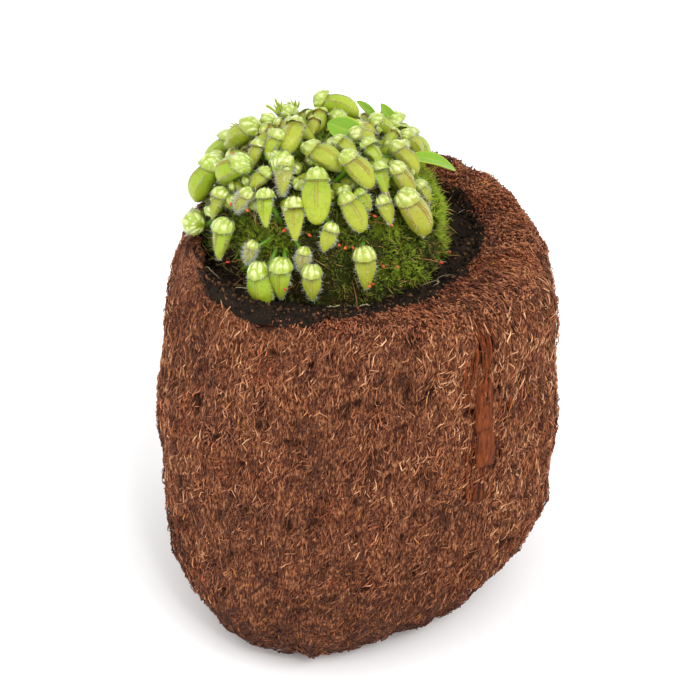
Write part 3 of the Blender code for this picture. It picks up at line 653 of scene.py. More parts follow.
class Skin:
    """A surface as a grid of millimetre points: rows go up it and columns go round it."""

    def __init__(self, points):
        self.points = np.asarray(points, float)
        self.rows, self.columns = self.points.shape[:2]
        around = np.roll(self.points, -1, 1) - np.roll(self.points, 1, 1)
        up = np.gradient(self.points, axis=0)
        self.normals = unit(np.cross(around, up))
        self.column_size = np.maximum(np.linalg.norm(around, axis=2).mean(1) / 2, 0.05)
        self.row_size = np.linalg.norm(up, axis=2).mean(1)

    def blend(self, grid, row, column):
        """Values of a grid between its rows and columns."""
        row = np.clip(row, 0, self.rows - 1.001)
        column = np.mod(column, self.columns)
        i, j = row.astype(int), column.astype(int) % self.columns
        s, t = (row - i)[..., None], (column - np.floor(column))[..., None]
        k = (j + 1) % self.columns
        return ((grid[i, j] * (1 - t) + grid[i, k] * t) * (1 - s)
                + (grid[i + 1, j] * (1 - t) + grid[i + 1, k] * t) * s)

    def at(self, row, column, lift=0.0):
        """Points on the surface, lifted off it."""
        lift = np.asarray(lift, float)[..., None]
        return self.blend(self.points, row, column) + self.normal(row, column) * lift

    def normal(self, row, column):
        """Directions straight out of the surface."""
        return unit(self.blend(self.normals, row, column))

    def scatter(self, count, draw, low, high):
        """Rows and columns of points spread evenly over the area between two rows."""
        area = (self.column_size * self.row_size)[low:high]
        row = low + draw.choice(high - low, size=count, p=area / area.sum()) + draw.uniform(0, 1, count)
        return row, draw.uniform(0, self.columns, count)

    def scatter_shown(self, count, draw, low, high, hidden):
        """Rows, columns and places of such points, less the share that is hidden at each place."""
        row, column = self.scatter(count, draw, low, high)
        spot = self.at(row, column)
        keep = draw.uniform(0, 1, count) > hidden(spot)
        return row[keep], column[keep], spot[keep]

    def walk(self, row, column, heading, length, curl, stations, draw, lift, sink=0.35, weave=0.12):
        """Curly paths over the surface; heading is the angle from round it towards up it."""
        step = (length / (stations - 1))[:, None]
        along = step * np.arange(stations - 1)
        phase = draw.uniform(0, math.tau, (len(row), 1))
        pace = draw.uniform(0.30, 0.75, (len(row), 1))
        angle = heading[:, None] + curl[:, None] * np.sin(phase + along * pace)
        rise, run = (np.pad(np.cumsum(part * step, 1), ((0, 0), (1, 0)))
                     for part in (np.sin(angle), np.cos(angle)))
        near = np.clip(row.astype(int), 0, self.rows - 1)
        rows = row[:, None] + rise / self.row_size[near][:, None]
        columns = column[:, None] + run / self.column_size[near][:, None]
        share = np.linspace(0, 1, stations)
        hump = np.sin(math.pi * share) ** 0.5
        lifts = -sink + (lift[:, None] + sink) * hump + draw.normal(0, weave, (len(row), stations)) * hump
        return self.at(rows, columns, lifts)


# Finishes

class Wire:
    """An output of a shader node; sums on it add Math nodes."""

    def __init__(self, finish, socket):
        self.finish, self.socket = finish, socket

    def math(self, operation, first, second):
        """One Math node over two values."""
        return self.finish.node("ShaderNodeMath", {"operation": operation}, {0: first, 1: second})

    def __add__(self, other):
        return self.math("ADD", self, other)

    def __sub__(self, other):
        return self.math("SUBTRACT", self, other)

    def __rsub__(self, other):
        return self.math("SUBTRACT", other, self)

    def __mul__(self, other):
        return self.math("MULTIPLY", self, other)

    __radd__ = __add__
    __rmul__ = __mul__

    def fit(self, low, high):
        """0 at low and 1 at high, softly between."""
        return self.finish.node("ShaderNodeMapRange", {"interpolation_type": "SMOOTHSTEP"},
                                {"Value": self, "From Min": low, "From Max": high})


class Finish:
    """A procedural material whose values come from masks on the mesh and from noise."""

    def __init__(self, name, specular, **constants):
        self.material = bpy.data.materials.new(name)
        self.material.use_nodes = True
        self.tree = self.material.node_tree
        self.shader = self.tree.nodes["Principled BSDF"]
        for key, value in {"Specular_IOR_Level": specular, **constants}.items():
            self.shader.inputs[key.replace("_", " ")].default_value = value

    def node(self, kind, settings=None, values=None, output=0):
        """Adds a node: its settings first, then the values or links of its sockets."""
        made = self.tree.nodes.new(kind)
        for key, value in (settings or {}).items():
            setattr(made, key, value)
        for key, value in (values or {}).items():
            if isinstance(value, Wire):
                self.tree.links.new(value.socket, made.inputs[key])
            else:
                made.inputs[key].default_value = value
        return Wire(self, made.outputs[output])

    def value(self, name):
        """A mask kept at the mesh's points."""
        return self.node("ShaderNodeAttribute", {"attribute_name": name}, output=2)

    def spot(self, stretch=(1.0, 1.0, 1.0)):
        """Places in the part, in metres, stretched along an axis where its share is small."""
        here = self.node("ShaderNodeTexCoord", output=3)
        return self.node("ShaderNodeVectorMath", {"operation": "MULTIPLY"}, {0: here, 1: stretch})

    def noise(self, size, detail=2.0, stretch=(1.0, 1.0, 1.0)):
        """Noise from 0 to 1 with lumps about size millimetres across."""
        return self.node("ShaderNodeTexNoise", None, {"Vector": self.spot(stretch), "Scale": 1 / (size * MM),
                                                      "Detail": detail, "Roughness": 0.6})

    def cells(self, size):
        """Distance to the nearest of scattered spots, about size millimetres apart."""
        return self.node("ShaderNodeTexVoronoi", None, {"Vector": self.spot(), "Scale": 1 / (size * MM)})

    def ramp(self, value, stops):
        """A colour that follows a value through stops: position, colour and, if it is scaled, its share."""
        made = self.node("ShaderNodeValToRGB", None, {"Fac": value})
        elements = made.socket.node.color_ramp.elements
        while len(elements) < len(stops):
            elements.new(0.5)
        for element, (position, colour, *share) in zip(elements, stops):
            element.position = position
            element.color = (*scaled(colour, *share), 1.0)
        return made

    def mix(self, share, first, second, way="MIX"):
        """Blends two colours by a share from 0 to 1."""
        first, second = (c if isinstance(c, Wire) else (*c, 1.0) for c in (first, second))
        return self.node("ShaderNodeMix", {"data_type": "RGBA", "blend_type": way, "clamp_factor": True},
                         {0: share, 6: first, 7: second}, output=2)

    def dress(self, colour, roughness, height=None, strength=0.0, distance=0.0):
        """Feeds the shader; a height from 0 to 1 raises the surface by a distance in millimetres."""
        fed = {"Base Color": colour, "Roughness": roughness}
        if height is not None:
            fed["Normal"] = self.node("ShaderNodeBump", None, {"Height": height, "Strength": strength,
                                                               "Distance": distance * MM})
        for socket, value in fed.items():
            self.tree.links.new(value.socket, self.shader.inputs[socket])
        return self.material


def scaled(colour, share=1.0):
    """A colour that is lighter or darker by a share."""
    return tuple(min(1.0, c * share) for c in colour)


def fibre_finish(look):
    """Curly root fibres: a tone for each, darker at its ends as painted shade where they dip into the mat,
    with fine grain.
    """
    f = Finish("root fibre", 0.35)
    grain = f.noise(0.9, 3.0)
    patch = f.noise(14.0, 2.0)
    clump = f.noise(3.6, 3.0, (1.0, 1.0, 0.6))
    shade = f.value("tone") + (grain - 0.5) * 0.30 + (patch - 0.5) * 0.35 + (clump - 0.5) * 0.9
    body = f.ramp(shade, ((0.0, look.dark, 0.45), (0.28, look.dark), (0.58, look.middle), (0.86, look.light),
                          (1.0, look.light, 1.35)))
    redder = f.ramp(shade, ((0.0, look.russet, 0.2), (0.45, look.russet), (0.95, look.russet, 2.4)))
    red = f.mix(f.value("tip") * 0.75, body, redder)
    return f.dress(f.mix(f.value("mark"), red, look.golden), 0.62 + grain * 0.28, grain, 0.5, 0.25)


def core_finish(look):
    """The matted inside of the block, seen in the gaps between its fibres, painted in darker copies of the
    fibres' colours as painted shade.
    """
    f = Finish("matted fibre", 0.15)
    streak = f.noise(0.7, 3.0, (1.0, 1.0, 0.22))
    tangle = f.noise(1.5, 3.0)
    mat = f.ramp(streak * 0.7 + tangle * 0.3, ((0.36, look.dark, 0.2), (0.47, look.dark, 0.7),
                                               (0.56, look.middle, 0.75), (0.68, look.light, 0.6)))
    # Painted shade: near black in the pits
    return f.dress(f.mix(f.value("mark"), mat, scaled(look.dark, 0.12)),
                   0.8 + streak * 0.2, streak + tangle * 0.5, 0.9, 0.8)


def bark_finish(look):
    """Smooth reddish bark with upright grain."""
    f = Finish("bark", 0.12)
    grain = f.noise(0.8, 4.0, (1.0, 1.0, 0.14))
    blotch = f.noise(5.0, 3.0)
    shade = grain * 0.75 + blotch * 0.25 + f.value("tone") * 0.2
    strip = f.ramp(shade, ((0.38, look.bark, 0.2), (0.48, look.bark, 0.8), (0.6, look.bark, 1.3),
                           (0.75, look.bark, 2.2)))
    return f.dress(strip, 0.6 + grain * 0.35, grain, 1.0, 0.8)


def peat_finish(look):
    """Dark damp peat with brown crumbs."""
    f = Finish("peat", 0.12)
    grain = f.noise(0.6, 5.0)
    patch = f.noise(9.0, 2.0)
    shade = f.value("tone") + (grain - 0.5) * 1.3 + (patch - 0.5) * 0.4
    damp = f.ramp(shade, ((0.1, look.peat, 0.35), (0.45, look.peat), (0.75, look.crumb),
                          (1.0, look.crumb, 1.6)))
    return f.dress(damp, 0.7 + grain * 0.3, grain, 1.0, 1.2)


def moss_finish(look):
    """Moss blades from brown through deep green to fresh yellow-green, paler at the tips and darkened towards
    their roots as painted shade inside the cushion.
    """
    f = Finish("moss", 0.3)
    speck = f.noise(1.3, 2.0)
    shade = f.value("tone") + (speck - 0.5) * 0.22
    body = f.ramp(shade, ((0.0, look.brown), (0.22, look.deep, 0.8), (0.45, look.deep), (0.72, look.fresh),
                          (1.0, look.fresh, 1.5)))
    dead = f.mix(f.value("mark"), body, look.straw)
    # Painted shade: the blades darken towards their roots
    root = (1 - f.value("tip")) * 1.5 - 0.35
    return f.dress(f.mix(root, dead, scaled(look.deep, 0.25), "MULTIPLY"), 0.5 + speck * 0.3)


def ground_moss_finish(look):
    """The floor of the moss cushion, between the blades, painted in darker copies of the moss colours as
    painted shade.
    """
    f = Finish("moss floor", 0.15)
    tuft = f.cells(1.6)
    patch = f.noise(3.0, 4.0)
    shade = f.value("tone") * 0.6 + patch * 0.5 - tuft * 0.25
    # Painted shade: the floor's colours are darker copies of the moss colours
    floor = f.ramp(shade, ((0.1, look.brown, 0.35), (0.4, look.deep, 0.6), (0.8, look.fresh, 0.7)))
    return f.dress(floor, 0.8 + patch * 0.2, patch + tuft, 0.9, 1.0)


def body_finish(look):
    """Pitcher bodies: green to olive, yellower at the toe, with veins and red-brown lines on the keels."""
    f = Finish("pitcher body", 0.25, Subsurface_Weight=0.22, Subsurface_Scale=1.6 * MM,
               Subsurface_Radius=(0.9, 1.0, 0.1), Coat_Weight=0.10, Coat_Roughness=0.12)
    mottle = f.noise(2.4, 3.0)
    fine = f.noise(0.5, 2.0)
    veins = f.cells(1.5)
    green = f.mix(f.value("tone") + (mottle - 0.5) * 0.6, look.green, look.olive)
    toe = f.mix(f.value("tip") * 0.7 + (mottle - 0.5) * 0.9, green, look.yellow)
    vein = mottle.fit(0.50, 0.72) * 0.35 + veins.fit(0.55, 0.85) * 0.25
    veined = f.mix(vein, toe, scaled(look.green, 0.55))
    return f.dress(f.mix(f.value("mark"), veined, look.line),
                   0.30 + fine * 0.2, mottle + fine * 0.4 + veins * 0.5, 0.35, 0.4)


def lid_finish(look):
    """Lids: narrow green ribs with pale glassy windows between them; the windows are pale in their own
    colour, and their near-white patches are painted highlights.
    """
    f = Finish("lid", 0.35, Subsurface_Weight=0.10, Subsurface_Scale=0.6 * MM,
               Subsurface_Radius=(0.9, 1.0, 0.5), Coat_Weight=0.7, Coat_Roughness=0.08)
    mottle = f.noise(2.0, 2.0)
    window = f.value("mark")
    green = f.mix(f.value("tone"), scaled(look.green, 0.85), scaled(look.olive, 0.85))
    rib = f.mix(f.value("tip") * 0.35, green, look.yellow)
    # Painted highlight: near-white patches in the windows stand in for glints
    glass_and_glints = f.mix(mottle.fit(0.38, 0.60), scaled(look.green, 1.2), look.window)
    return f.dress(f.mix(window, rib, glass_and_glints), 0.34 - window * 0.2 + mottle * 0.08, mottle, 0.35, 0.5)


def leaf_finish(look):
    """Flat leaves and stalks: clear green, with a yellow margin and faint veins."""
    f = Finish("flat leaf", 0.25, Subsurface_Weight=0.12, Subsurface_Scale=1.2 * MM,
               Subsurface_Radius=(0.8, 1.0, 0.1), Coat_Weight=0.10, Coat_Roughness=0.15)
    mottle = f.noise(1.8, 3.0)
    cells = f.cells(1.1)
    green = f.mix(f.value("tone") + (mottle - 0.5) * 0.5, look.leaf, look.stalk)
    return f.dress(f.mix(f.value("mark"), green, look.yellow),
                   0.26 + mottle * 0.22, mottle + cells * 0.5, 0.3, 0.3)


def hair_finish(look):
    """Fine hairs: nearly white, a little darker on some."""
    f = Finish("plant hair", 0.5, Subsurface_Weight=0.2, Subsurface_Scale=0.5 * MM)
    shade = f.noise(2.0, 1.0)
    return f.dress(f.mix(shade * 0.4 + f.value("tone"), look.hair, scaled(look.hair, 0.6)),
                   0.45 + shade * 0.2)


def capsule_finish(look):
    """Moss capsules: red to orange, on brownish-red threads."""
    f = Finish("moss capsule", 0.5, Coat_Weight=0.2)
    shade = f.noise(0.9, 2.0)
    capsule = f.mix(f.value("tone") + (shade - 0.5) * 0.4, look.capsule, look.capsule_bright)
    return f.dress(f.mix(f.value("mark"), look.thread, capsule), 0.35 + shade * 0.2)


def withered_finish(look):
    """Withered tissue: brown with pale stripes, which on the withered pitchers are dark in the creases
    between the folds as painted shade.
    """
    f = Finish("withered", 0.3)
    grain = f.noise(1.0, 3.0)
    shade = f.value("tone") + (grain - 0.5) * 0.5
    tissue = f.ramp(shade, ((0.0, look.withered, 0.12), (0.5, look.withered, 0.42), (1.0, look.withered)))
    return f.dress(tissue, 0.55 + grain * 0.3, grain, 0.6, 0.4)


def floor_finish(look):
    """The floor: pale, with hardly any change over it."""
    f = Finish("studio floor", 0.1)
    shade = f.noise(60.0, 2.0)
    return f.dress(f.mix(shade, look.floor, scaled(look.floor, 0.99)), 0.85 + shade * 0.1)


# Sizes and colours that a user would change

def colour(name, description, red, green, blue):
    """A colour property, whose default is given in screen values."""
    return FloatVectorProperty(name=name, description=description, subtype="COLOR", size=3, min=0.0, max=1.0,
                               default=linear(red, green, blue))


def length(name, description, millimetres):
    """A length property, whose default is given in millimetres."""
    return FloatProperty(name=name, description=description, unit="LENGTH", subtype="DISTANCE", min=0.0,
                         precision=5, default=millimetres * MM)


def amount(name, description, default, least=10):
    """A property for a number of small pieces."""
    return IntProperty(name=name, description=description, default=default, min=least)


def strength(name, description, default):
    """A property for the strength of a light."""
    return FloatProperty(name=name, description=description, default=default, min=0.0)


class BlockLook(bpy.types.PropertyGroup):
    side_fibres: amount("Side fibres", "Curly fibres on the block's sides", 15800, 100)
    short_fibres: amount("Short fibres", "Short fine fibres between them", 23500, 100)
    rim_fibres: amount("Rim fibres", "Torn bits of fibre on the rim", 13000, 100)
    fibre_length: length("Fibre length", "Usual length of a fibre on the sides", 7.0)
    fibre_width: length("Fibre width", "Usual width of a fibre", 0.60)
    dark: colour("Dark", "Fibres in the shade of others", 104, 55, 35)
    middle: colour("Middle", "Most of the fibres", 170, 106, 68)
    # Light: worn, dry fibres, and also fibres that lie proud of the others, painted lighter as painted light
    light: colour("Light", "Worn, dry fibres", 214, 164, 122)
    golden: colour("Golden", "The few fresh root tips", 214, 140, 46)
    russet: colour("Russet", "Patches of redder fibre", 138, 66, 32)
    bark: colour("Bark", "The smooth strip of bark", 104, 50, 24)


class PeatLook(bpy.types.PropertyGroup):
    crumbs: amount("Crumbs", "Crumbs of peat round the mound", 1500)
    crumb_size: length("Crumb size", "Usual size of a crumb", 1.25)
    peat: colour("Peat", "Damp peat", 44, 34, 26)
    crumb: colour("Crumb", "Dry crumbs", 104, 72, 48)


class MossLook(bpy.types.PropertyGroup):
    blades: amount("Blades", "Moss blades on the mound", 30000, 100)
    blade_height: length("Blade height", "Usual height of a moss blade", 3.4)
    shoots: amount("Shoots", "Longer shoots and dead stems", 1500)
    brown: colour("Brown", "Old moss", 96, 74, 34)
    deep: colour("Deep", "Shaded moss", 62, 74, 16)
    fresh: colour("Fresh", "Fresh moss", 130, 152, 26)
    straw: colour("Straw", "Dead stems in the moss", 178, 142, 80)


class PlantLook(bpy.types.PropertyGroup):
    hair_length: length("Hair length", "Usual length of a hair on a pitcher", 1.5)
    stalk_width: length("Stalk width", "Width of a pitcher's stalk", 1.9)
    green: colour("Green", "Fresh pitchers", 139, 167, 34)
    olive: colour("Olive", "Older pitchers", 150, 147, 48)
    yellow: colour("Yellow", "Toes, margins and ribs", 181, 188, 58)
    line: colour("Line", "Fine lines on keels and under the lid", 128, 58, 28)
    # The window colour also paints near-white glints in the windows, as painted highlights
    window: colour("Window", "Pale windows in the lids", 222, 230, 164)
    leaf: colour("Leaf", "Flat leaves", 118, 158, 32)
    stalk: colour("Stalk", "Stalks", 84, 132, 24)
    hair: colour("Hair", "Hairs of the pitchers", 240, 238, 220)
    capsule: colour("Capsule", "Moss capsules", 176, 44, 26)
    capsule_bright: colour("Bright capsule", "The brightest moss capsules", 232, 104, 36)
    thread: colour("Thread", "Threads that carry the capsules", 160, 98, 48)
    withered: colour("Withered", "The palest withered tissue", 222, 205, 160)


class StageLook(bpy.types.PropertyGroup):
    floor: colour("Floor", "The pale floor", 246, 246, 246)
    key: strength("Key light", "Strength of the key light", 1.3)
    fill: strength("Fill light", "Strength of the fill light", 0.6)
    glint: strength("Glint light", "Strength of the small light that glints on the lids", 0.3)
    sky: strength("Sky", "Strength of the light from all round", 1.15)


# The block

@cache
def block_skin():
    """The block's surface: from under its base, up the side, over the rim and down to the peat."""
    angles = [math.tau * j / SKIN_COLUMNS for j in range(SKIN_COLUMNS)]
    middle = Vector((-4.0, -3.0, 0.0))
    rings = [[middle.lerp(block_point(a, 0.0), share) + Vector((0, 0, 0.3)) for a in angles]
             for share in (0.3, 0.65)]
    heights = [0.0, 3.0, 9.0]
    heights += [9.0 + (BLOCK_TOP - 9.0) * k / (BLOCK_RINGS - 3) for k in range(1, BLOCK_RINGS - 2)]
    rings += [[block_point(a, h) for a in angles] for h in heights]
    side = len(rings)
    for share, drop in ((0.5, 0.6), (0.18, 2.2)):
        rings.append([block_point(a, BLOCK_TOP, share) + Vector((0, 0, rim_wave(a) - drop)) for a in angles])
    for height, gap in ((HOLLOW_EDGE, 0.0), (PEAT_TOP - 2.0, 1.2)):
        rings.append([hollow_point(a, gap) + Vector((0, 0, height)) for a in angles])
    rings = np.array(rings, float)
    gaps = np.linalg.norm(np.diff(rings, axis=0), axis=2).mean(1)
    reach = np.concatenate(([0.0], np.cumsum(gaps)))
    wanted = np.linspace(0, reach[-1] - 1e-6, int(reach[-1] / SKIN_STEP))
    low = np.searchsorted(reach, wanted, side="right") - 1
    share = ((wanted - reach[low]) / gaps[low])[:, None, None]
    grid = rings[low] * (1 - share) + rings[low + 1] * share
    for _ in range(2):
        grid[1:-1] = (grid[:-2] + 2 * grid[1:-1] + grid[2:]) / 4
    skin = Skin(grid)
    skin.rim = int(reach[side - 1] / SKIN_STEP)
    return skin


def pits(points):
    """1 in the small pits between the fibres, 0 elsewhere; the core is pushed in there and painted near
    black, as painted shade.
    """
    return smooth(0.42, 0.80, mist(points, 4.6, 3) + 0.25 * mist(points, 1.8, 4))


def bark_share(points):
    """1 in the middle of the bark strip and 0 outside it."""
    half, low, high = BARK_SHOWN
    angle = np.degrees(np.arctan2(points[..., 1], points[..., 0]))
    beside = 1 - np.abs(angle - BARK_MIDDLE) / (half * (1.1 + 0.5 * mist(points, 7.0, 24)))
    return np.clip(beside * 3, 0, 1) * (points[..., 2] > low) * (points[..., 2] < high)


def soil_share(points):
    """1 where spilled peat covers the rim: a ragged band round the hollow, widest in front."""
    x, y = points[..., 0] - HOLLOW_CENTRE[0], points[..., 1] - HOLLOW_CENTRE[1]
    angle = np.arctan2(y, x)
    waves, share, crest = HOLLOW_LOBE
    swell = 1 + share * np.cos(waves * (angle - math.radians(crest)))
    out = (np.hypot(x / HOLLOW_RADIUS[0], y / HOLLOW_RADIUS[1]) - swell) * HOLLOW_RADIUS[1]
    band = np.interp(np.degrees(angle), *zip(*SOIL_SPILL)) * (1 + 0.25 * mist(points, 9.0, 91))
    return smooth(-0.6, 1.4, band + 1.5 * mist(points, 3.0, 92) - out)


def foot_soil(points):
    """1 where peat covers the foot of the mound."""
    azimuth, slope = dome_angles(points)
    return smooth(-2.5, 2.0, slope - np.interp(azimuth, *zip(*SOIL_FOOT)) + 2.5 * mist(points, 6.0, 95))


def side_cover(points):
    """Share of the fibres on the sides that pits, bare bark and spilled peat hide."""
    return np.maximum(0.8 * pits(points), np.maximum(0.8 * bark_share(points), 0.95 * soil_share(points)))


class PLANT_OT_block(bpy.types.Operator):
    """Makes the matted inside of the fibre block, in the block's own form"""
    bl_idname = "plant.block"
    bl_label = "Fibre Block"

    def execute(self, context):
        block = block_skin()
        grid = block.points[::2, ::2]
        normals = block.normals[::2, ::2]
        # Painted shade: the pits' mark darkens the core to near black where it is pushed in
        dark = pits(grid)
        grid = grid - normals * (0.55 + 1.9 * dark + 0.4 * mist(grid, 2.6, 14))[..., None]
        grid[..., 2] = np.maximum(grid[..., 2], 0.0)
        floor = grid[-1].mean(0) * (1, 1, 0) + (0, 0, PEAT_TOP - 8)
        base = grid[0].mean(0) * (1, 1, 0)
        heap = Heap()
        heap.add(*turned(grid, base, floor), mark=np.append(dark.ravel(), (0, 0)))
        heap.build("fibre_core", [core_finish(context.scene.block_look)], "root_fibre", "fibre_block")
        return {"FINISHED"}


class PLANT_OT_fibres(bpy.types.Operator):
    """Covers the block in curly root fibres: long ones up its sides, short torn ones on its rim"""
    bl_idname = "plant.fibres"
    bl_label = "Root Fibres"

    def execute(self, context):
        look, block = context.scene.block_look, block_skin()
        draw = np.random.default_rng(11)
        finish = fibre_finish(look)
        long, wide = look.fibre_length / MM, look.fibre_width / MM
        left, right, rim = Heap(), Heap(), Heap()
        run, broad, small = FIBRE_RUN
        short = long * SHORT_SHARE
        for count, size, stations in ((look.side_fibres, long, 4), (look.short_fibres, short, 3)):
            row, column, spot = block.scatter_shown(count, draw, 2, block.rim, side_cover)
            count = len(row)
            flow = run + broad * mist(spot, 34.0, 5) + small * mist(spot, 11.0, 6)
            stray = np.where(draw.uniform(0, 1, count) < STRAY_SHARE, STRAY_SPREAD, FIBRE_SPREAD)
            flow = np.radians(flow + draw.normal(0, 1, count) * stray)
            size = size * draw.uniform(0.6, 1.4, count)
            lift = draw.uniform(0.05, 0.9, count) ** 1.4
            curl = draw.uniform(0.2, 1.0, count)
            paths = block.walk(row, column, flow, size, curl, stations, draw, lift, 0.35, 0.18)
            for heap, half in ((left, spot[:, 0] < 0), (right, spot[:, 0] >= 0)):
                self.grow(heap, paths[half], draw, wide, lift[half], spot[half])
        row, column, spot = block.scatter_shown(look.rim_fibres, draw, block.rim - 4, block.rows - 2,
                                                lambda points: 0.88 * soil_share(points))
        count = len(row)
        lift = draw.uniform(0.0, 1.0, count) ** 2 * 1.2
        heading, size = draw.uniform(0, math.tau, count), long * draw.uniform(0.25, 0.65, count)
        curl = draw.uniform(0.2, 0.9, count)
        paths = block.walk(row, column, heading, size, curl, 3, draw, lift, 0.3, 0.3)
        self.grow(rim, paths, draw, wide * draw.uniform(0.8, 2.0, (count, 1)), lift * 0.4, spot)
        for name, heap in (("root_fibre_left", left), ("root_fibre_right", right), ("root_fibre_rim", rim)):
            heap.build(name, [finish], "root_fibre")
        return {"FINISHED"}

    def grow(self, heap, paths, draw, wide, lift, spot):
        """Adds fibres along paths; those that lie proud of the others are painted lighter and those below
        them darker, as painted light and shade.
        """
        count, stations = paths.shape[:2]
        radii = wide / 2 * draw.uniform(0.6, 1.2, (count, 1)) * np.linspace(1.0, 0.8, stations)
        paths[..., 2] = np.maximum(paths[..., 2], radii.max() + 0.1)
        points, faces, along = strands(paths, radii)
        # Painted light and shade: the higher a fibre lies off the block, the lighter its tone
        tone = 0.27 + 0.27 * lift + draw.normal(0, 0.15, count)
        tone = tone + 0.15 * mist(spot, 26.0, 8) + 0.12 * mist(spot, 6.0, 10)
        tone = tone + 0.22 * (draw.uniform(0, 1, count) < 0.04)
        # Painted light: lighter towards the right, the side the key light falls from; also darker towards the
        # bottom
        tone = tone - 0.30 * (1 - smooth(5, 75, spot[:, 2])) + 0.10 * smooth(20, 80, spot[:, 0])
        tone = np.where(spot[:, 2] > RIM_HEIGHT, np.minimum(tone + 0.06, 0.54), tone)
        # Painted shade: both ends of a fibre are darker where they dip into the mat
        tone = per_point(tone, along) - 0.2 * np.abs(2 * along - 1) ** 3
        golden = draw.uniform(0, 1, count) < 0.008 + 0.05 * (mist(spot, 14.0, 9) > 0.62)
        golden = golden * draw.uniform(0.2, 0.65, count)
        russet = smooth(0.15, 0.75, mist(spot, 15.0, 12) + draw.normal(0, 0.2, count))
        heap.add(points, faces, tone=tone, tip=per_point(russet, along), mark=per_point(golden, along))


class PLANT_OT_bark(bpy.types.Operator):
    """Lays the smooth slips of bark in the strip at the front right"""
    bl_idname = "plant.bark"
    bl_label = "Bark Strip"

    def execute(self, context):
        heap, block = Heap(), block_skin()
        draw = np.random.default_rng(17)
        slips = list(BARK_PLATES)
        for _ in range(BARK_SLIPS):
            foot = draw.uniform(80, 150)
            top = min(BARK_TOP, foot + draw.uniform(9, 26))
            slips.append((foot, top, draw.normal(0.3, 2.9), draw.uniform(0.15, 0.5),
                          draw.uniform(-0.3, 0.5), draw.uniform(0, 0.5)))
        s, t = np.meshgrid(np.linspace(0, 1, 13), np.linspace(-1, 1, 5), indexing="ij")
        heights = block.points[:block.rim, 0, 2]
        for k, (foot, top, offset, wide, lift, tilt) in enumerate(slips):
            height = foot + (top - foot) * s + wobble(21, t * 6, 0, k, size=1.4) * (1 - s)
            if wide < 1:
                taper = 1 - 0.8 * np.abs(2 * s - 1) ** 4
                wave = 0.8 * wobble(25, s * 4, k, 0)
            else:
                taper, wave = 0.95 + 0.1 * wobble(22, s * 9, k, 0), 0.0
            column = (BARK_MIDDLE + offset + wave + t * wide * taper) / 360 * SKIN_COLUMNS
            row = np.interp(height, heights, np.arange(block.rim))
            ridge = 0.3 * wobble(23, t * 3 + k, s * 2.2, 0)
            face = block.at(row, column, lift + tilt * (1 - s) + ridge - 0.5 * np.abs(t) ** 3)
            heap.add(*slab(face, block.normal(row, column) * BARK_THICKNESS), tone=draw.uniform(-0.3, 0.6))
        heap.build("bark_strip", [bark_finish(context.scene.block_look)], "root_fibre")
        return {"FINISHED"}


# Peat and moss

@cache
def peat_skin():
    """The peat between the block's wall and the foot of the mound, from the wall inwards."""
    angles = np.arange(PEAT_COLUMNS) * math.tau / PEAT_COLUMNS
    shares = np.linspace(1, 0, PEAT_ROWS)
    rows = []
    for q in shares:
        ring = []
        for angle in angles:
            rim = hollow_point(angle, 0.8)
            foot = MOUND_CENTRE + Vector((math.cos(angle), math.sin(angle), 0)) * (MOUND_RADIUS - 3)
            spot = Vector((foot.x, foot.y, 0)).lerp(rim, q)
            crumb = noise.noise(Vector((spot.x, spot.y, 0)) * 0.16)
            bank = SOIL_BANK * (0.5 + 0.5 * math.cos(angle - math.radians(SOIL_SIDE)))
            height = PEAT_TOP + 0.3 * q + crumb * 1.4 + bank * (0.55 + 0.45 * q ** 1.5)
            ring.append((spot.x, spot.y, height))
        rows.append(ring)
    grid = np.array(rows)
    grid[..., 2] += 0.7 * mist(grid, 3.0, 31) + 0.5 * mist(grid, 1.5, 32) + 2.0 * shares[:, None] ** 4
    return Skin(grid)


@cache
def mound_skin():
    """The dome of the moss mound, from its foot to its top."""
    foot = PEAT_TOP + MOUND_FOOT
    rows = []
    for slope in MOUND_SLOPES:
        share = min(1.0, 0.4 + (90 - slope) / 27)
        ring = []
        for j in range(MOUND_COLUMNS):
            way = direction(360.0 * j / MOUND_COLUMNS, slope)
            spot = MOUND_CENTRE + way * (MOUND_RADIUS - MOSS_SINK + moss_relief(way) * share)
            ring.append((spot.x, spot.y, max(spot.z, foot + 0.1 - MOSS_SINK)))
        rows.append(ring)
    grid = np.array(rows)
    bumps = 1.1 * mist(grid, 6.0, 41) + 0.5 * mist(grid, 2.5, 42)
    return Skin(grid + unit(grid - MOUND) * bumps[..., None])


def dome_angles(points):
    """Azimuth and slope, in degrees, of points seen from the mound's centre."""
    way = unit(points - MOUND)
    slope = np.degrees(np.arccos(np.clip(way[..., 2], -1, 1)))
    return np.degrees(np.arctan2(way[..., 0], -way[..., 1])), slope


def near(points, azimuth, slope, reach):
    """1 at a place of the dome, falling away over its reach in degrees."""
    apart = np.degrees(np.arccos(np.clip(unit(points - MOUND) @ np.array(direction(azimuth, slope)), -1, 1)))
    return np.exp(-(apart / reach) ** 2)


# Patches of moss: azimuth, slope, reach, change of tone (up is fresh, down is brown)
MOSS_PATCHES = (
    (92, 58, 22, 0.60), (84, 74, 11, 0.42), (105, 40, 18, 0.45), (43, 56, 11, 0.24), (36, 72, 9, 0.26),
    (-60, 14, 12, 0.20), (64, 76, 12, -0.18), (6, 74, 18, -0.32), (-38, 66, 14, 0.14), (99, 84, 10, -0.45),
    (-140, 62, 24, 0.35), (165, 68, 22, 0.30), (128, 66, 18, 0.25), (-95, 74, 14, -0.15),
)


def moss_tone(points):
    """How fresh the moss is, from 0 for brown to 1 for bright."""
    tone = 0.47 + 0.24 * mist(points, 9.0, 51) + 0.20 * mist(points, 4.0, 52)
    for azimuth, slope, reach, change in MOSS_PATCHES:
        tone = tone + change * near(points, azimuth, slope, reach)
    return tone


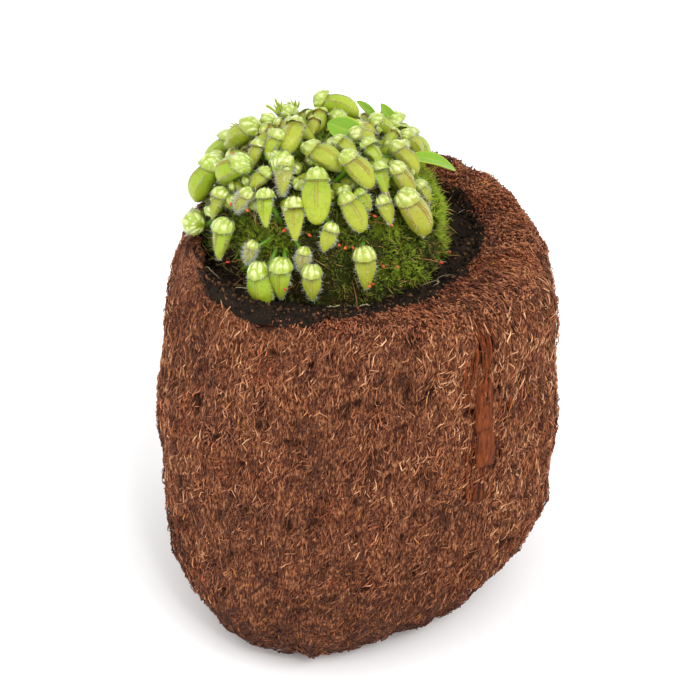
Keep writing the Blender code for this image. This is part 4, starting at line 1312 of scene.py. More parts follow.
class PLANT_OT_peat(bpy.types.Operator):
    """Fills the hollow with dark peat, and scatters crumbs and pale roots on it"""
    bl_idname = "plant.peat"
    bl_label = "Peat"

    def execute(self, context):
        look, peat, block = context.scene.peat_look, peat_skin(), block_skin()
        draw = np.random.default_rng(12)
        finish = peat_finish(look)
        low = peat.points * (1, 1, 0) + (0, 0, PEAT_TOP - 6)
        rows = np.concatenate((low[-1:], low[:1], peat.points, peat.points[-1:] - (0, 0, 3)))
        heap = Heap()
        heap.add(rows.reshape(-1, 3), grid_faces(len(rows), peat.columns), tone=0.35)
        row, column = peat.scatter(look.crumbs, draw, 0, peat.rows - 2)
        size = look.crumb_size / MM * draw.uniform(0.4, 1.7, look.crumbs) ** 1.3
        centre = peat.at(row, column, size * 0.2)
        tone = np.clip(draw.normal(0.38, 0.22, look.crumbs), 0, 1)
        heap.add(*lumps(centre, size, draw), tone=np.repeat(tone, 6))
        heap.build("peat_crumbs", [finish], "peat", "peat")
        self.spill(look, draw, finish, block)
        return {"FINISHED"}

    @staticmethod
    def height(spot, cover):
        """How far the spilled peat stands off what it covers."""
        return (2.5 + 0.7 * mist(spot, 3.2, 93) + 0.5 * mist(spot, 1.6, 94)) * cover - 1.3

    def spill(self, look, draw, finish, block):
        """Peat that lies over the rim in front, and crumbs on it and on the foot of the mound."""
        heap = Heap()
        for skin, first, last, share, count in (
                (mound_skin(), 0, 20, foot_soil, SOIL_CRUMBS[0]),
                (block, block.rim - 2, block.rows, soil_share, SOIL_CRUMBS[1])):
            row, column = np.meshgrid(np.arange(first, last), np.arange(0, skin.columns, 2.0), indexing="ij")
            spot = skin.at(row, column)
            top = skin.at(row, column, self.height(spot, share(spot)))
            rows = np.concatenate((top[:1] - (0, 0, 3), top, top[-1:] - (0, 0, 2)))
            heap.add(rows.reshape(-1, 3), grid_faces(*rows.shape[:2]), tone=0.32)
            row, column = skin.scatter(count, draw, first, last - 1)
            spot = skin.at(row, column)
            keep = draw.uniform(0, 1, count) < 0.6 * share(spot)
            size = look.crumb_size / MM * draw.uniform(0.5, 1.5, keep.sum()) ** 1.5
            centre = skin.at(row[keep], column[keep], self.height(spot[keep], 1.0) + size * 0.15)
            tone = np.clip(draw.normal(0.42, 0.28, keep.sum()), 0, 1)
            heap.add(*lumps(centre, size, draw), tone=np.repeat(tone, 6))
        heap.build("spilled_peat", [finish], "peat")


class PLANT_OT_moss(bpy.types.Operator):
    """Covers the mound in moss blades, bright on the right and dark in front"""
    bl_idname = "plant.moss"
    bl_label = "Moss Mound"

    def execute(self, context):
        look, mound = context.scene.moss_look, mound_skin()
        draw = np.random.default_rng(13)
        floor = mound.points
        heap = Heap()
        heap.add(*turned(floor, floor[0].mean(0) - (0, 0, 2)),
                 tone=np.append(moss_tone(floor).ravel(), (0.2, 0.2)))
        heap.build("moss_floor", [ground_moss_finish(look)], "moss", "moss_mound")
        finish = moss_finish(look)
        tufts = look.blades // TUFT_BLADES
        row, column = mound.scatter(tufts, draw, 0, mound.rows - 1)
        centre, normal = mound.at(row, column, -0.3), mound.normal(row, column)
        bare = foot_soil(centre)
        keep = draw.uniform(0, 1, tufts) > 0.93 * bare
        centre, normal, bare, tufts = centre[keep], normal[keep], bare[keep], keep.sum()
        star = draw.uniform(0, 1, tufts) < 0.25          # open tufts of longer, wider and paler blades
        tone = moss_tone(centre) + draw.normal(0, 0.10, tufts) + 0.20 * star
        tall = look.blade_height / MM * draw.uniform(0.6, 1.2, tufts) * (0.75 + 0.5 * smooth(0.4, 0.9, tone))
        tall = tall * (1 + 0.35 * star) * (1 - 0.4 * bare)
        spread = draw.uniform(0.35, 1.0, tufts) + 0.7 * star
        width = 1 + 0.3 * star
        centre, normal, tone, tall, spread, width = (np.repeat(v, TUFT_BLADES, axis=0)
                                                     for v in (centre, normal, tone, tall, spread, width))
        count = len(tone)
        aside = draw.normal(size=(count, 3))
        aside = unit(aside - normal * (aside * normal).sum(1, keepdims=True))
        root = centre + aside * draw.uniform(0.0, 0.6, (count, 1))
        lean = unit(normal + aside * (spread * draw.uniform(0.2, 1.5, count))[:, None] + (0, 0, 0.2))
        tall = tall * draw.uniform(0.6, 1.25, count)
        wide = width * draw.uniform(0.40, 0.75, count)
        tone = tone + draw.normal(0, 0.20, count)
        dead = (draw.uniform(0, 1, count) < 0.16 - 0.2 * (tone - 0.4)) * draw.uniform(0.2, 0.9, count)
        bright = tone > 0.5
        for name, part in (("moss_fresh", bright), ("moss_deep", ~bright)):
            points, faces, tip = spikes(root[part], (root + lean * tall[:, None])[part], wide[part])
            heap = Heap()
            heap.add(points, faces, tone=per_point(tone[part], tip), tip=tip, mark=per_point(dead[part], tip))
            heap.build(name, [finish], "moss")
        self.shoots(look, draw, finish, mound)
        return {"FINISHED"}

    def shoots(self, look, draw, finish, mound):
        """Longer leafy shoots and dead stems that arch out of the moss."""
        count = look.shoots
        row, column = mound.scatter(count, draw, 0, mound.rows - 4)
        root = mound.at(row, column, -0.2 + 1.5 * foot_soil(mound.at(row, column)))
        normal = mound.normal(row, column)
        dead = (draw.uniform(0, 1, count) < 0.5) * draw.uniform(0.5, 1.0, count)
        lean = unit(normal + draw.normal(0, 0.55, (count, 3)) + (0, 0, 0.3))
        bend = draw.normal(0, 0.7, (count, 3)) - (0, 0, 0.35)
        size = draw.uniform(2.4, 4.8, count) * (1 + 0.5 * dead)
        paths = arches(root, lean, bend * 0.6, size, 5)
        points, faces, tip = strands(paths, draw.uniform(0.12, 0.21, (count, 1)) * np.linspace(1, 0.6, 5))
        heap = Heap()
        tone = moss_tone(root) + draw.normal(0.15, 0.2, count)
        heap.add(points, faces, tone=per_point(tone, tip), tip=0.35 + 0.65 * tip, mark=per_point(dead, tip))
        heap.build("moss_shoots", [finish], "moss")


# Pitchers

# Angles round a pitcher from its front to its back, and stations from its mouth to its toe
KEEL_TURNS = (0.0, 0.10, 0.24, 0.45, 0.70, 0.92, 1.06, 1.15, 1.24, 1.42, 1.75, 2.2, 2.7)
PLAIN_TURNS = (0.0, 0.5, 1.0, 1.5, 2.3)
BODY_STATIONS = (0.03, 0.06, 0.11, 0.18, 0.25, 0.33, 0.42, 0.52, 0.62, 0.72, 0.81, 0.88, 0.94, 0.975, 0.995)
PLAIN_STATIONS = (0.08, 0.22, 0.42, 0.64, 0.84, 0.97)
# Inner wall, lip and collar: place along the body and share of the width at the mouth
LIP = ((0.42, 0.40), (0.20, 0.66), (0.02, 0.74), (-0.020, 0.84), (-0.028, 0.95), (-0.012, 1.06),
       (0.012, 1.04))
PLAIN_LIP = ((0.25, 0.5), (0.0, 0.8), (0.0, 1.04))
FRONT_KEEL = 0.10          # half the distance between the two front keels, in radians
SIDE_KEEL = 1.15
LID_FAN = 84.0             # half of the angle that a lid's ribs spread over
LID_SEAT = 0.98            # from the hinge to the lid's middle, as a share of its half length


def keel_ridge(turns, keel, width):
    """1 on a keel on either side of a body, falling away over a width in radians."""
    return np.exp(-((np.abs(turns) - keel) / width) ** 2)


def share_at(kind, t):
    """Width of a pitcher's body at t from its mouth to its toe, as a share of the full width."""
    mouth, belly, first, second = OUTLINES[kind]
    t = np.asarray(t, float)
    opening = mouth + (1 - mouth) * np.sin(np.clip(t / belly, 0, 1) * math.pi / 2)
    taper = np.clip(1 - np.clip((t - belly) / (1 - belly), 0, 1) ** first, 0, 1) ** second
    return np.where(t < belly, opening, taper)


class Growth:
    """Gathers the meshes of one crown and the roots of its hairs."""

    def __init__(self, draw):
        self.draw, self.heap, self.hairs = draw, Heap(), []

    def hair(self, roots, ways, size):
        """Keeps hair roots with the directions in which they stand and their length."""
        roots, ways = np.asarray(roots, float).reshape(-1, 3), np.asarray(ways, float).reshape(-1, 3)
        self.hairs.append((roots, ways, np.broadcast_to(size, len(roots))))

    def body(self, pitcher, tone, plain=False):
        """The body with its mouth, collar, keels and inner wall; a plain one is small and has few faces."""
        along, out, across = (np.array(a) for a in pitcher.axes())
        span = pitcher.length * BODY_LENGTH
        mouth = np.array(pitcher.top) + along * pitcher.length * MOUTH_PLACE
        turns = np.array(PLAIN_TURNS if plain else KEEL_TURNS)
        turns = np.concatenate((turns, [math.pi], -turns[:0:-1]))

        def ring(t, share, keel):
            front = 0.07 * keel_ridge(turns, FRONT_KEEL, 0.09) * math.sin(math.pi * min(1, t * 0.8 + 0.12))
            side = WINGS[pitcher.kind] * keel_ridge(turns, SIDE_KEEL, 0.16)
            side = side * math.exp(-((t - 0.34) / 0.28) ** 2)
            waist = 1 - 0.07 * math.exp(-((t - 0.07) / 0.05) ** 2)
            wide = share * (1 + keel * (front + side)) * (waist if keel else 1.0)
            centre = mouth + along * span * t + out * pitcher.depth * BOW * math.sin(math.pi * t)
            lean = along * MOUTH_LEAN * (1 - t) * pitcher.length * np.cos(turns)[:, None]
            flat = np.where(np.cos(turns) < 0, 0.88, 1.0)
            return (centre + lean + out * (np.cos(turns) * flat * wide * pitcher.depth / 2)[:, None]
                    + across * (np.sin(turns) * wide * pitcher.width / 2)[:, None])

        lip = float(share_at(pitcher.kind, 0.0))
        stations = [(t, share * lip, 0.0) for t, share in (PLAIN_LIP if plain else LIP)]
        first = len(stations)
        stations += [(t, float(share_at(pitcher.kind, t)), 1.0)
                     for t in (PLAIN_STATIONS if plain else BODY_STATIONS)]
        rows = np.array([ring(*station) for station in stations])
        rows += (mist(rows, 2.4, 71)[..., None] * 0.14) * unit(rows - rows.mean(1, keepdims=True))
        points, faces = turned(rows, mouth + along * span * 0.5, mouth + along * span)
        down = np.repeat([max(0.0, s[0]) for s in stations], len(turns))
        keels = keel_ridge(turns, FRONT_KEEL, 0.05) * 0.7 + keel_ridge(turns, SIDE_KEEL, 0.06) * 0.5
        fade = np.array([k * math.sin(math.pi * min(1.0, 0.2 + t)) for t, _, k in stations])
        mark = np.outer(fade, keels * self.draw.uniform(0.3, 1.15))
        mark[first] = 0.6
        self.heap.add(points, faces, tone=tone, mark=np.append(mark.ravel(), (0, 0)),
                      tip=np.append(down, (0.4, 1.0)))
        if plain:
            self.sides_hairs(rows[first:], PLAIN_HAIRS)
        else:
            self.rim(rows[2:first], tone)
            self.keel_hairs(rows[first:], turns)
            self.sides_hairs(rows[first:], BODY_HAIRS)
        return rows[first:]

    def rim(self, rows, tone):
        """Fine ribs that run over the rim from the inside to the outside."""
        count = 16
        column = np.linspace(0, rows.shape[1], count, endpoint=False)
        i = column.astype(int)
        t = (column - i)[:, None, None]
        after = (i + 1) % rows.shape[1]
        paths = (rows[:, i] * (1 - t[:, 0]) + rows[:, after] * t[:, 0]).transpose(1, 0, 2)
        paths = paths + unit(paths - rows.mean((0, 1))) * 0.10
        points, faces, tip = strands(paths, 0.26)
        self.heap.add(points, faces, slot=1, tone=tone, mark=0.2, tip=tip)

    def keel_hairs(self, rows, turns):
        """Hairs along the front keel and both side keels."""
        for keel, count in ((FRONT_KEEL, 8), (SIDE_KEEL, 30), (-SIDE_KEEL, 30)):
            j = int(np.argmin(np.abs(turns - keel)))
            self.standing_hairs(rows, self.draw.uniform(0, len(rows) - 2, count), j, 1.0)

    def sides_hairs(self, rows, count, size=0.65):
        """Hairs all over a body."""
        i, j = self.draw.integers(0, len(rows) - 1, count), self.draw.integers(0, rows.shape[1], count)
        self.standing_hairs(rows, i, j, size)

    def standing_hairs(self, rows, place, j, size):
        """Hairs that stand out from a body at places along its rows, in column or columns j."""
        i = place.astype(int)
        roots = rows[i, j] + (rows[i + 1, j] - rows[i, j]) * (place - i)[:, None]
        self.hair(roots, unit(roots - rows.mean(1)[i]) + self.stray(len(i)), size)

    def stray(self, count, spread=HAIR_SPREAD):
        """How far hairs lean away from their usual direction."""
        return self.draw.normal(0, spread, (count, 3))

    def lid(self, hinge, forward, up, size, width, dome, tone, ribs=7, windows=0.9, plain=False):
        """A domed lid: ribs that fan out from the hinge, with bulging windows between them."""
        hinge, forward, up = (np.array(v, float) for v in (hinge, forward, up))
        across = np.cross(forward, up)
        columns = 4 * ribs + 1
        s = np.linspace(-1, 1, columns)
        spread = s * math.radians(LID_FAN)
        pane = np.abs(np.sin(math.pi * ribs * (s + 1) / 2))
        reach = size * LID_SEAT
        cos, sin = np.cos(spread), np.sin(spread)
        bend = cos * reach / size ** 2
        curve = cos ** 2 / size ** 2 + sin ** 2 / width ** 2
        edge = (bend + np.sqrt(np.maximum(bend ** 2 - curve * (reach ** 2 / size ** 2 - 1), 0))) / curve
        q = np.linspace(0.02, 1, 5 if plain else 9)[:, None] ** 0.8
        x, y = edge * q * cos, edge * q * sin
        round_share = np.clip(((x - reach) / size) ** 2 + (y / width) ** 2, 0, 1)
        scallop = 1 + 0.07 * (pane - 0.6) * smooth(0.6, 1.0, q)
        x, y = x * scallop, y * scallop
        bulge = 0.15 * size * windows * pane * smooth(0.10, 0.45, q) * (1 - 0.8 * q ** 5)
        height = dome * (1 - round_share) ** 0.62 + bulge
        top = hinge + forward * x[..., None] + across * y[..., None] + up * height[..., None]
        points, faces = slab(top[:, ::-1], up * 0.5 * np.ones_like(x)[..., None])
        mark = windows * self.draw.uniform(0.7, 1.0) * smooth(0.45, 0.8, pane)
        mark = mark * smooth(0.20, 0.40, q) * (1 - smooth(0.93, 1.0, q))
        mark = mark[:, ::-1].ravel()
        tip = np.broadcast_to(q, x.shape)[:, ::-1].ravel()
        self.heap.add(points, faces, slot=1, tone=tone, mark=np.tile(mark, 2), tip=np.tile(tip, 2))
        count = LID_HAIRS[plain]
        j = self.draw.integers(1, columns - 1, count)
        ways = unit(top[-1, j] - top[len(q) // 2, j]) + self.stray(count) - up * 0.3
        self.hair(top[-1, j], ways, 0.85)
        i, j = self.draw.integers(1, len(q), count // 2), self.draw.integers(1, columns - 1, count // 2)
        self.hair(top[i, j], up + self.stray(count // 2, 0.6), 0.6)

    def pitcher_lid(self, pitcher, tone, plain=False):
        """The lid of one pitcher, hinged at the back of its mouth."""
        along, out, _ = pitcher.axes()
        opening = math.radians(LID_OPENING)
        forward = out * math.cos(opening) - along * math.sin(opening)
        up = -along * math.cos(opening) - out * math.sin(opening)
        hinge = pitcher.top + along * pitcher.length * LID_HINGE - out * pitcher.depth * LID_HINGE_BACK
        long, wide = LIDS[pitcher.kind]
        ribs = 4 if plain else 6 if pitcher.kind == "young" else 7
        self.lid(hinge, forward, up, pitcher.length * long / 2 * 0.96, pitcher.width * wide,
                 pitcher.length * LID_DOME, tone, ribs, plain=plain)

    def stalk(self, points, width, tone):
        """A hairy stalk through points, eight-sided and slightly thicker at its foot."""
        points = np.array([tuple(p) for p in points])
        t = np.linspace(0, len(points) - 1, 11)
        i = np.minimum(t.astype(int), len(points) - 2)
        u = (t - i)[:, None]
        padded = np.concatenate((2 * points[:1] - points[1:2], points, 2 * points[-1:] - points[-2:-1]))
        a, b, c, d = (padded[i + k] for k in range(4))
        path = 0.5 * (2 * b + (c - a) * u + (2 * a - 5 * b + 4 * c - d) * u ** 2
                      + (3 * b - a - 3 * c + d) * u ** 3)
        radii = width / 2 * np.linspace(1.2, 0.95, 11)[None]
        mesh, faces, tip = strands(path[None], radii, 8)
        self.heap.add(mesh, faces, slot=2, tone=tone + 0.3 * (1 - tip))
        count = 20
        k = self.draw.integers(4, 10, count)
        ways = unit(np.cross(self.draw.normal(size=(count, 3)), path[k] - path[k - 1]))
        self.hair(path[k] + ways * width * 0.45, ways + self.stray(count, 0.25), 0.8)

    def leaf(self, root, start, tip, width, arch, roll):
        """A flat pointed leaf, arched and folded at its midrib, on its own stalk."""
        start, tip = Vector(start), Vector(tip)
        long = (tip - start).length
        heading = (tip - start).normalized()
        out = (start + tip) / 2 - MOUND_CENTRE
        out = (out - heading * out.dot(heading)).normalized()
        out.rotate(Quaternion(heading, math.radians(roll)))
        middle = root.lerp(start, 0.5) + ((root + start) / 2 - MOUND_CENTRE).normalized() * LEAF_STALK_ARCH
        self.stalk((root, middle, start, start + heading * 1.8), 1.6, 0.6)
        start, heading, out, across = (np.array(v) for v in (start, heading, out, heading.cross(out)))
        t, s = np.meshgrid(np.linspace(0.005, 1, 25), np.linspace(-1, 1, 13), indexing="ij")
        share = np.sin(math.pi * np.clip(t, 0, 1) ** 1.12) ** 0.72 * 0.97 + 0.03 * (1 - t)
        rise = arch * long * np.sin(math.pi * t) + LEAF_FOLD * width * np.abs(s) ** 1.6 * share
        rise = rise - 0.10 * np.exp(-(s / 0.08) ** 2) + 0.10 * np.cos(s * 9 + t * 14) * (1 - np.abs(s))
        rise = rise + 0.25 * wobble(77, t * 3, s, 0) * share
        top = start + heading * (long * t)[..., None] + across * (width / 2 * share * s)[..., None]
        top = top + out * (rise + LEAF_THICKNESS)[..., None]
        edge = smooth(0.84, 1.0, np.abs(s)) * 0.7 + 0.30 * np.exp(-(s / 0.07) ** 2)
        points, faces = slab(top, out * LEAF_THICKNESS * np.ones_like(t)[..., None])
        self.heap.add(points, faces, slot=2, tone=np.repeat((0.05, 0.45), t.size),
                      mark=np.concatenate((edge.ravel(), edge.ravel() * 0.5)))


class Sprout(Pitcher):
    """A small pitcher that stands up out of the moss, tilted towards a heading, which it faces."""

    def __init__(self, way, heading, tilt, length):
        self.length, self.kind, self.heading = length, "young", heading
        self.width = length * PITCHER_WIDTH * 1.1
        self.depth = length * PITCHER_DEPTH
        axis = way * math.cos(tilt) + heading * math.sin(tilt)
        self.toe = MOUND_CENTRE + way * (MOUND_RADIUS + 0.5)
        self.top = self.toe + axis * SPAN * length

    def axes(self):
        along = (self.toe - self.top).normalized()
        out = (self.heading - along * self.heading.dot(along)).normalized()
        return along, out, along.cross(out)


def sprouts(crowns):
    """Small pitchers in the gaps between the others: the name of the nearest crown, and the sprout."""
    draw = random.Random(SEED)
    taken = [(p.top.lerp(p.toe, t), 0.40 * p.width + 2.0)
             for _, fan in crowns.values() for p in fan for t in (0, 0.35, 0.7)]
    taken += [(MOUND_CENTRE + direction(a, b) * (MOUND_RADIUS + 5), 0.5 * size)
              for _, a, b, *_, size in SHELLS]
    taken += [(Vector(foot).lerp(Vector(tip), t), 0.5 * width + 3.0)
              for _, foot, tip, width, *_ in LEAVES for t in (0.2, 0.5, 0.8)]
    found = []
    for _ in range(6000):
        azimuth, slope = draw.uniform(-180, 180), math.degrees(math.acos(draw.uniform(0.5, 1)))
        way, length = direction(azimuth, slope), draw.uniform(*SPROUT_LENGTHS)
        turn, tilt = draw.uniform(-75, 75), math.radians(draw.uniform(35, 78))
        if slope > np.interp(azimuth, *zip(*SPROUT_REACH)) or len(found) >= SPROUTS:
            continue
        middle = MOUND_CENTRE + way * (MOUND_RADIUS + 0.4 * length)
        if any((middle - spot).length < room for spot, room in taken):
            continue
        ahead = travel(way, turn, 0.1)
        heading = (ahead - way * ahead.dot(way)).normalized()
        taken.append((middle, SPROUT_ROOM))
        nearest = min(crowns, key=lambda name: (crowns[name][0] - way).length)
        found.append((nearest, Sprout(way, heading, tilt, length)))
    return found


class PLANT_OT_crowns(bpy.types.Operator):
    """Grows the crowns: stalks, pitchers with their lids, flat leaves and all their hairs"""
    bl_idname = "plant.crowns"
    bl_label = "Crowns of Pitchers"

    def execute(self, context):
        look = context.scene.plant_look
        draw = np.random.default_rng(14)
        finishes = [body_finish(look), lid_finish(look), leaf_finish(look)]
        hairs, crowns = [], layout()
        small = sprouts(crowns)
        for name, (foot, pitchers) in crowns.items():
            growth = Growth(draw)
            root = MOUND_CENTRE + foot * (MOUND_RADIUS + moss_relief(foot) - 3.0)
            for number, pitcher in enumerate(pitchers):
                self.pitcher(growth, root, pitcher, look.stalk_width / MM, (name, number) in WOOLLY)
            for (sprout,) in rows_of(name, small):
                tone = float(np.clip(draw.normal(0.35, 0.3), 0, 1))
                rows = growth.body(sprout, tone, plain=True)
                growth.pitcher_lid(sprout, tone, plain=True)
                if draw.uniform() < BEARDED_SHARE:
                    growth.sides_hairs(rows[:4], *BEARD_HAIRS)
            for row in rows_of(name, LEAVES):
                growth.leaf(root, *row)
            for row in rows_of(name, SHELLS):
                self.shell(growth, root, *row)
            for row in rows_of(name, COMBS):
                self.comb(growth, *row)
            growth.heap.build(name + "_pitchers", finishes, "leaf", name)
            hairs += growth.hairs
        self.hairs(hairs, look, draw)
        return {"FINISHED"}

    def pitcher(self, growth, root, pitcher, width, woolly):
        """One pitcher on its stalk, which runs through the moss to the back of its mouth."""
        tone = 1.0 if woolly else float(np.clip(growth.draw.normal(0.35, 0.3), 0, 1))
        rows = growth.body(pitcher, tone)
        growth.pitcher_lid(pitcher, tone * 0.8)
        if woolly:
            growth.sides_hairs(rows, *WOOLLY_HAIRS)
        along, out, _ = pitcher.axes()
        back, share = PETIOLE_END
        end = pitcher.top + along * pitcher.length * back - out * pitcher.depth * share
        path = [root]
        for t, lift in ((0.3, -2.4), (0.66, PETIOLE_LIFT)):
            way = (root.lerp(end, t) - MOUND_CENTRE).normalized()
            path.append(MOUND_CENTRE + way * (MOUND_RADIUS + moss_relief(way) + lift))
        growth.stalk((*path, end), width * (0.75 if pitcher.kind == "young" else 1.0), 0.7)

    def shell(self, growth, root, azimuth, slope, spin, tilt, size):
        """A lid that stands wide open on its stalk, seen from its back as a shell."""
        way = direction(azimuth, slope)
        hinge = MOUND_CENTRE + way * (MOUND_RADIUS + 5.0)
        uphill = travel(way, 180 + spin, math.radians(90))
        forward = (way * math.cos(math.radians(tilt)) + uphill * math.sin(math.radians(tilt))).normalized()
        up = forward.cross(way.cross(forward).normalized())
        if up.dot(way) < 0:
            up.negate()
        growth.lid(hinge, forward, up, size * 0.44, size * 0.48, size * 0.24, 0.2, 7, 1.0)
        middle = MOUND_CENTRE + ((root + hinge) / 2 - MOUND_CENTRE).normalized() * (MOUND_RADIUS + 1.0)
        growth.stalk((root, middle, hinge + forward * 0.8), 1.8, 0.3)

    def comb(self, growth, azimuth, slope, size):
        """A tuft of free teeth, the ribs of a very young lid."""
        way = direction(azimuth, slope)
        base = np.array(MOUND_CENTRE + way * (MOUND_RADIUS + 6.5))
        side = unit(np.cross(np.array(way), (0.2, 1.0, 0.4)))
        over = np.cross(side, np.array(way))
        spread = np.radians(np.linspace(-40, 40, 7) + growth.draw.normal(0, 4, 7))
        ways = np.array(way) * np.cos(spread)[:, None] + side * np.sin(spread)[:, None]
        t = np.linspace(0, 1, 6)[None, :, None]
        bow = over * np.sin(t * math.pi) * 0.16 + over * growth.draw.normal(0, 0.10, (7, 1, 1)) * t
        fingers = base + (ways[:, None] * t + bow) * size * growth.draw.uniform(0.8, 1.15, (7, 1, 1))
        points, faces, tip = strands(fingers, 0.42 * np.linspace(1.2, 0.6, 6), 5)
        growth.heap.add(points, faces, slot=2, tone=0.0, mark=0.25 + 0.5 * tip)

    def hairs(self, hairs, look, draw):
        """All the fine pale hairs as one piece."""
        roots = np.concatenate([h[0] for h in hairs])
        ways = unit(np.concatenate([h[1] for h in hairs]))
        size = np.concatenate([h[2] for h in hairs]) * look.hair_length / MM
        size = size * draw.uniform(0.5, 1.5, len(roots))
        points, faces, tip = spikes(roots - ways * 0.1, roots + ways * size[:, None], HAIR_WIDTH)
        heap = Heap()
        heap.add(points, faces, tone=per_point(draw.uniform(0, 0.4, len(roots)), tip), tip=tip)
        heap.build("pitcher_hairs", [hair_finish(look)], "leaf")


class PLANT_OT_capsules(bpy.types.Operator):
    """Raises red moss capsules on thin bent threads"""
    bl_idname = "plant.capsules"
    bl_label = "Moss Capsules"

    def execute(self, context):
        look, mound = context.scene.plant_look, mound_skin()
        draw = np.random.default_rng(15)
        count, rest = CAPSULES, CAPSULES - CAPSULES_IN_FRONT
        azimuth = np.concatenate((draw.normal(5, 30, CAPSULES_IN_FRONT), draw.uniform(-180, 180, rest)))
        slope = draw.uniform(32, 80, count)
        row = np.interp(-slope, -MOUND_SLOPES, np.arange(mound.rows))
        column = (azimuth % 360) / 360 * mound.columns
        root, normal = mound.at(row, column, -0.3), mound.normal(row, column)
        size = draw.uniform(6.0, 12.0, count)
        lean = unit(normal + draw.normal(0, 0.45, (count, 3)) + (0, 0, 0.25))
        bend = unit(draw.normal(0, 0.7, (count, 3)) + (0, 0, -0.9))
        paths = arches(root, lean, bend * 0.42, size, 9)
        points, faces, _ = strands(paths, 0.19)
        heap = Heap()
        heap.add(points, faces, mark=0.0)
        end, way = paths[:, -1], unit(paths[:, -1] - paths[:, -2])
        t = np.linspace(-0.15, 1, 7)[None, :, None]
        pods = end[:, None] + way[:, None] * t * draw.uniform(1.5, 2.4, count)[:, None, None]
        radii = draw.uniform(0.45, 0.70, (count, 1)) * np.array(CAPSULE_FORM)
        points, faces, _ = strands(pods, radii, 6)
        heap.add(points, faces, mark=1.0, tone=per_point(draw.uniform(0, 1, count) ** 1.5, points))
        heap.build("moss_capsules", [capsule_finish(look)], "moss")
        return {"FINISHED"}


class PLANT_OT_litter(bpy.types.Operator):
    """Adds withered pitchers, pale dry threads and roots on the peat"""
    bl_idname = "plant.litter"
    bl_label = "Withered Parts"

    def execute(self, context):
        peat = peat_skin()
        draw = np.random.default_rng(16)
        heap = Heap()
        turns = np.arange(3 * WITHERED_FOLDS) * math.tau / (3 * WITHERED_FOLDS)
        folds = np.cos(turns * WITHERED_FOLDS)
        for azimuth, slope, lift, size, width in WITHERED:
            way = direction(azimuth, slope)
            toe = travel(way, 8, size / MOUND_RADIUS)
            top = np.array(MOUND_CENTRE + way * (MOUND_RADIUS + lift))
            foot = np.array(MOUND_CENTRE + toe * (MOUND_RADIUS + lift - 2.2))
            along = unit(foot - top)
            side = unit(np.cross(along, np.array(way)))
            over = np.cross(side, along)
            rows = []
            for t, share in WITHERED_FORM:
                reach = share * width / 2 * (1 + 0.16 * folds)
                rows.append(top + along * size * t + side * (np.cos(turns) * reach)[:, None]
                            + over * (np.sin(turns) * reach * 0.7)[:, None])
            points, faces = turned(rows)
            # Painted shade: the tone is dark in the creases between the folds and pale on their ridges
            heap.add(points, faces, tone=np.append(np.tile(0.5 + 0.5 * folds, len(rows)), (0, 0.5)))
        count = ROOTS_ON_PEAT
        row, column = peat.scatter(count, draw, 2, peat.rows - 3)
        heading, size = draw.uniform(0, math.tau, count), draw.uniform(7, 20, count)
        curl, lift = draw.uniform(0.4, 1.0, count), draw.uniform(0.6, 1.8, count)
        paths = peat.walk(row, column, heading, size, curl, 10, draw, lift, 0.1)
        points, faces, tip = strands(paths, draw.uniform(0.10, 0.22, (count, 1)))
        heap.add(points, faces, tone=per_point(draw.uniform(0.35, 0.8, count), tip))
        count = DRY_THREADS
        azimuth, slope = draw.uniform(-125, -30, count), draw.uniform(20, 60, count)
        ways = [direction(a, s) for a, s in zip(azimuth, slope)]
        falls = [travel(way, turn, 0.34) for way, turn in zip(ways, draw.uniform(-35, 35, count))]
        t = np.linspace(0, 1, 10)[None, :, None]
        lift = (2.0 + 6.5 * np.sin(math.pi * t) ** 0.8) * draw.uniform(0.7, 1.1, (count, 1, 1))
        spots = np.array(ways)[:, None] * (1 - t) + np.array(falls)[:, None] * t
        paths = MOUND + unit(spots) * (MOUND_RADIUS - 1.5 + lift)
        paths += 0.35 * draw.normal(size=paths.shape)
        points, faces, tip = strands(paths, 0.13)
        heap.add(points, faces, tone=per_point(draw.uniform(0.75, 1.0, count), tip))
        heap.build("withered_parts", [withered_finish(context.scene.plant_look)], "leaf")
        return {"FINISHED"}


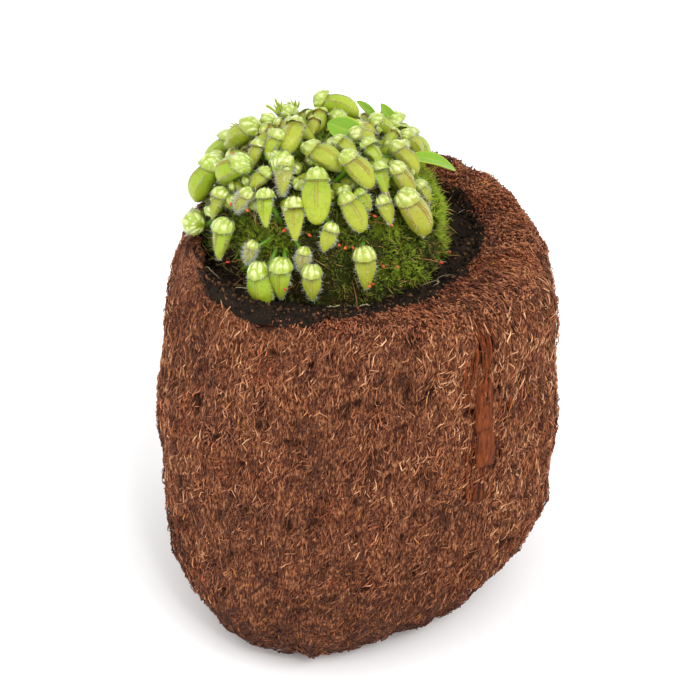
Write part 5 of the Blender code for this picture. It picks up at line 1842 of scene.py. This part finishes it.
class PLANT_OT_stage(bpy.types.Operator):
    """Sets the pale floor, the soft lights and the camera"""
    bl_idname = "plant.stage"
    bl_label = "Stage"

    def execute(self, context):
        scene, look = context.scene, context.scene.stage_look
        mesh = bpy.data.meshes.new("floor")
        half, bow = 3.0, 25
        s = np.linspace(-half, half, bow)
        mesh.from_pydata([(x, y, 0.0) for y in s for x in s], [],
                         [(j * bow + i, j * bow + i + 1, (j + 1) * bow + i + 1, (j + 1) * bow + i)
                          for j in range(bow - 1) for i in range(bow - 1)])
        mesh.materials.append(floor_finish(look))
        floor = bpy.data.objects.new("studio_floor", mesh)
        scene.collection.objects.link(floor)
        world = bpy.data.worlds.new("studio")
        world.use_nodes = True
        world.node_tree.nodes["Background"].inputs["Color"].default_value = (1.0, 1.0, 1.0, 1.0)
        world.node_tree.nodes["Background"].inputs["Strength"].default_value = look.sky
        scene.world = world
        self.sun("key", look.key, 34.0, (0.42, -0.50, 0.76))
        self.sun("fill", look.fill, 60.0, (-0.55, -0.45, 0.70))
        self.sun("glint", look.glint, 5.0, (0.20, -0.60, 0.78))
        data = bpy.data.cameras.new("camera")
        data.lens, data.sensor_width = CAMERA_LENS, 36.0
        data.clip_start, data.clip_end = 0.01, 20.0
        camera = bpy.data.objects.new("camera", data)
        slope = math.radians(CAMERA_ELEVATION)
        away = Vector((0.0, -math.cos(slope), math.sin(slope)))
        camera.location = Vector(CAMERA_TARGET) + away * CAMERA_DISTANCE
        camera.rotation_euler = away.to_track_quat("Z", "Y").to_euler()
        scene.collection.objects.link(camera)
        scene.camera = camera
        scene.view_settings.view_transform = "Standard"
        return {"FINISHED"}

    def sun(self, name, strength, spread, towards):
        """A soft light that shines from a direction on the whole scene."""
        data = bpy.data.lights.new(name, "SUN")
        data.energy, data.angle = strength, math.radians(spread)
        lamp = bpy.data.objects.new(name, data)
        lamp.rotation_euler = Vector(towards).to_track_quat("Z", "Y").to_euler()
        bpy.context.scene.collection.objects.link(lamp)


LOOKS = {"block_look": BlockLook, "peat_look": PeatLook, "moss_look": MossLook, "plant_look": PlantLook,
         "stage_look": StageLook}
MAKERS = (PLANT_OT_block, PLANT_OT_fibres, PLANT_OT_bark, PLANT_OT_peat, PLANT_OT_moss, PLANT_OT_crowns,
          PLANT_OT_capsules, PLANT_OT_litter, PLANT_OT_stage)


class PLANT_PT_panel(bpy.types.Panel):
    """Lists the sizes and colours, and the pieces that can be made"""
    bl_label = "Pitcher Plant"
    bl_idname = "PLANT_PT_panel"
    bl_space_type = "VIEW_3D"
    bl_region_type = "UI"
    bl_category = "Pitcher Plant"

    def draw(self, context):
        for maker in MAKERS:
            self.layout.operator(maker.bl_idname)
        for name, kind in LOOKS.items():
            box = self.layout.box()
            for key in kind.__annotations__:
                box.prop(getattr(context.scene, name), key)


def register():
    for kind in (*LOOKS.values(), *MAKERS, PLANT_PT_panel):
        bpy.utils.register_class(kind)
    for name, kind in LOOKS.items():
        setattr(bpy.types.Scene, name, PointerProperty(type=kind))


def unregister():
    for name in LOOKS:
        delattr(bpy.types.Scene, name)
    for kind in reversed((*LOOKS.values(), *MAKERS, PLANT_PT_panel)):
        bpy.utils.unregister_class(kind)


def main():
    register()
    for maker in MAKERS:
        group, name = maker.bl_idname.split(".")
        getattr(getattr(bpy.ops, group), name)()


if __name__ == "__main__":
    main()
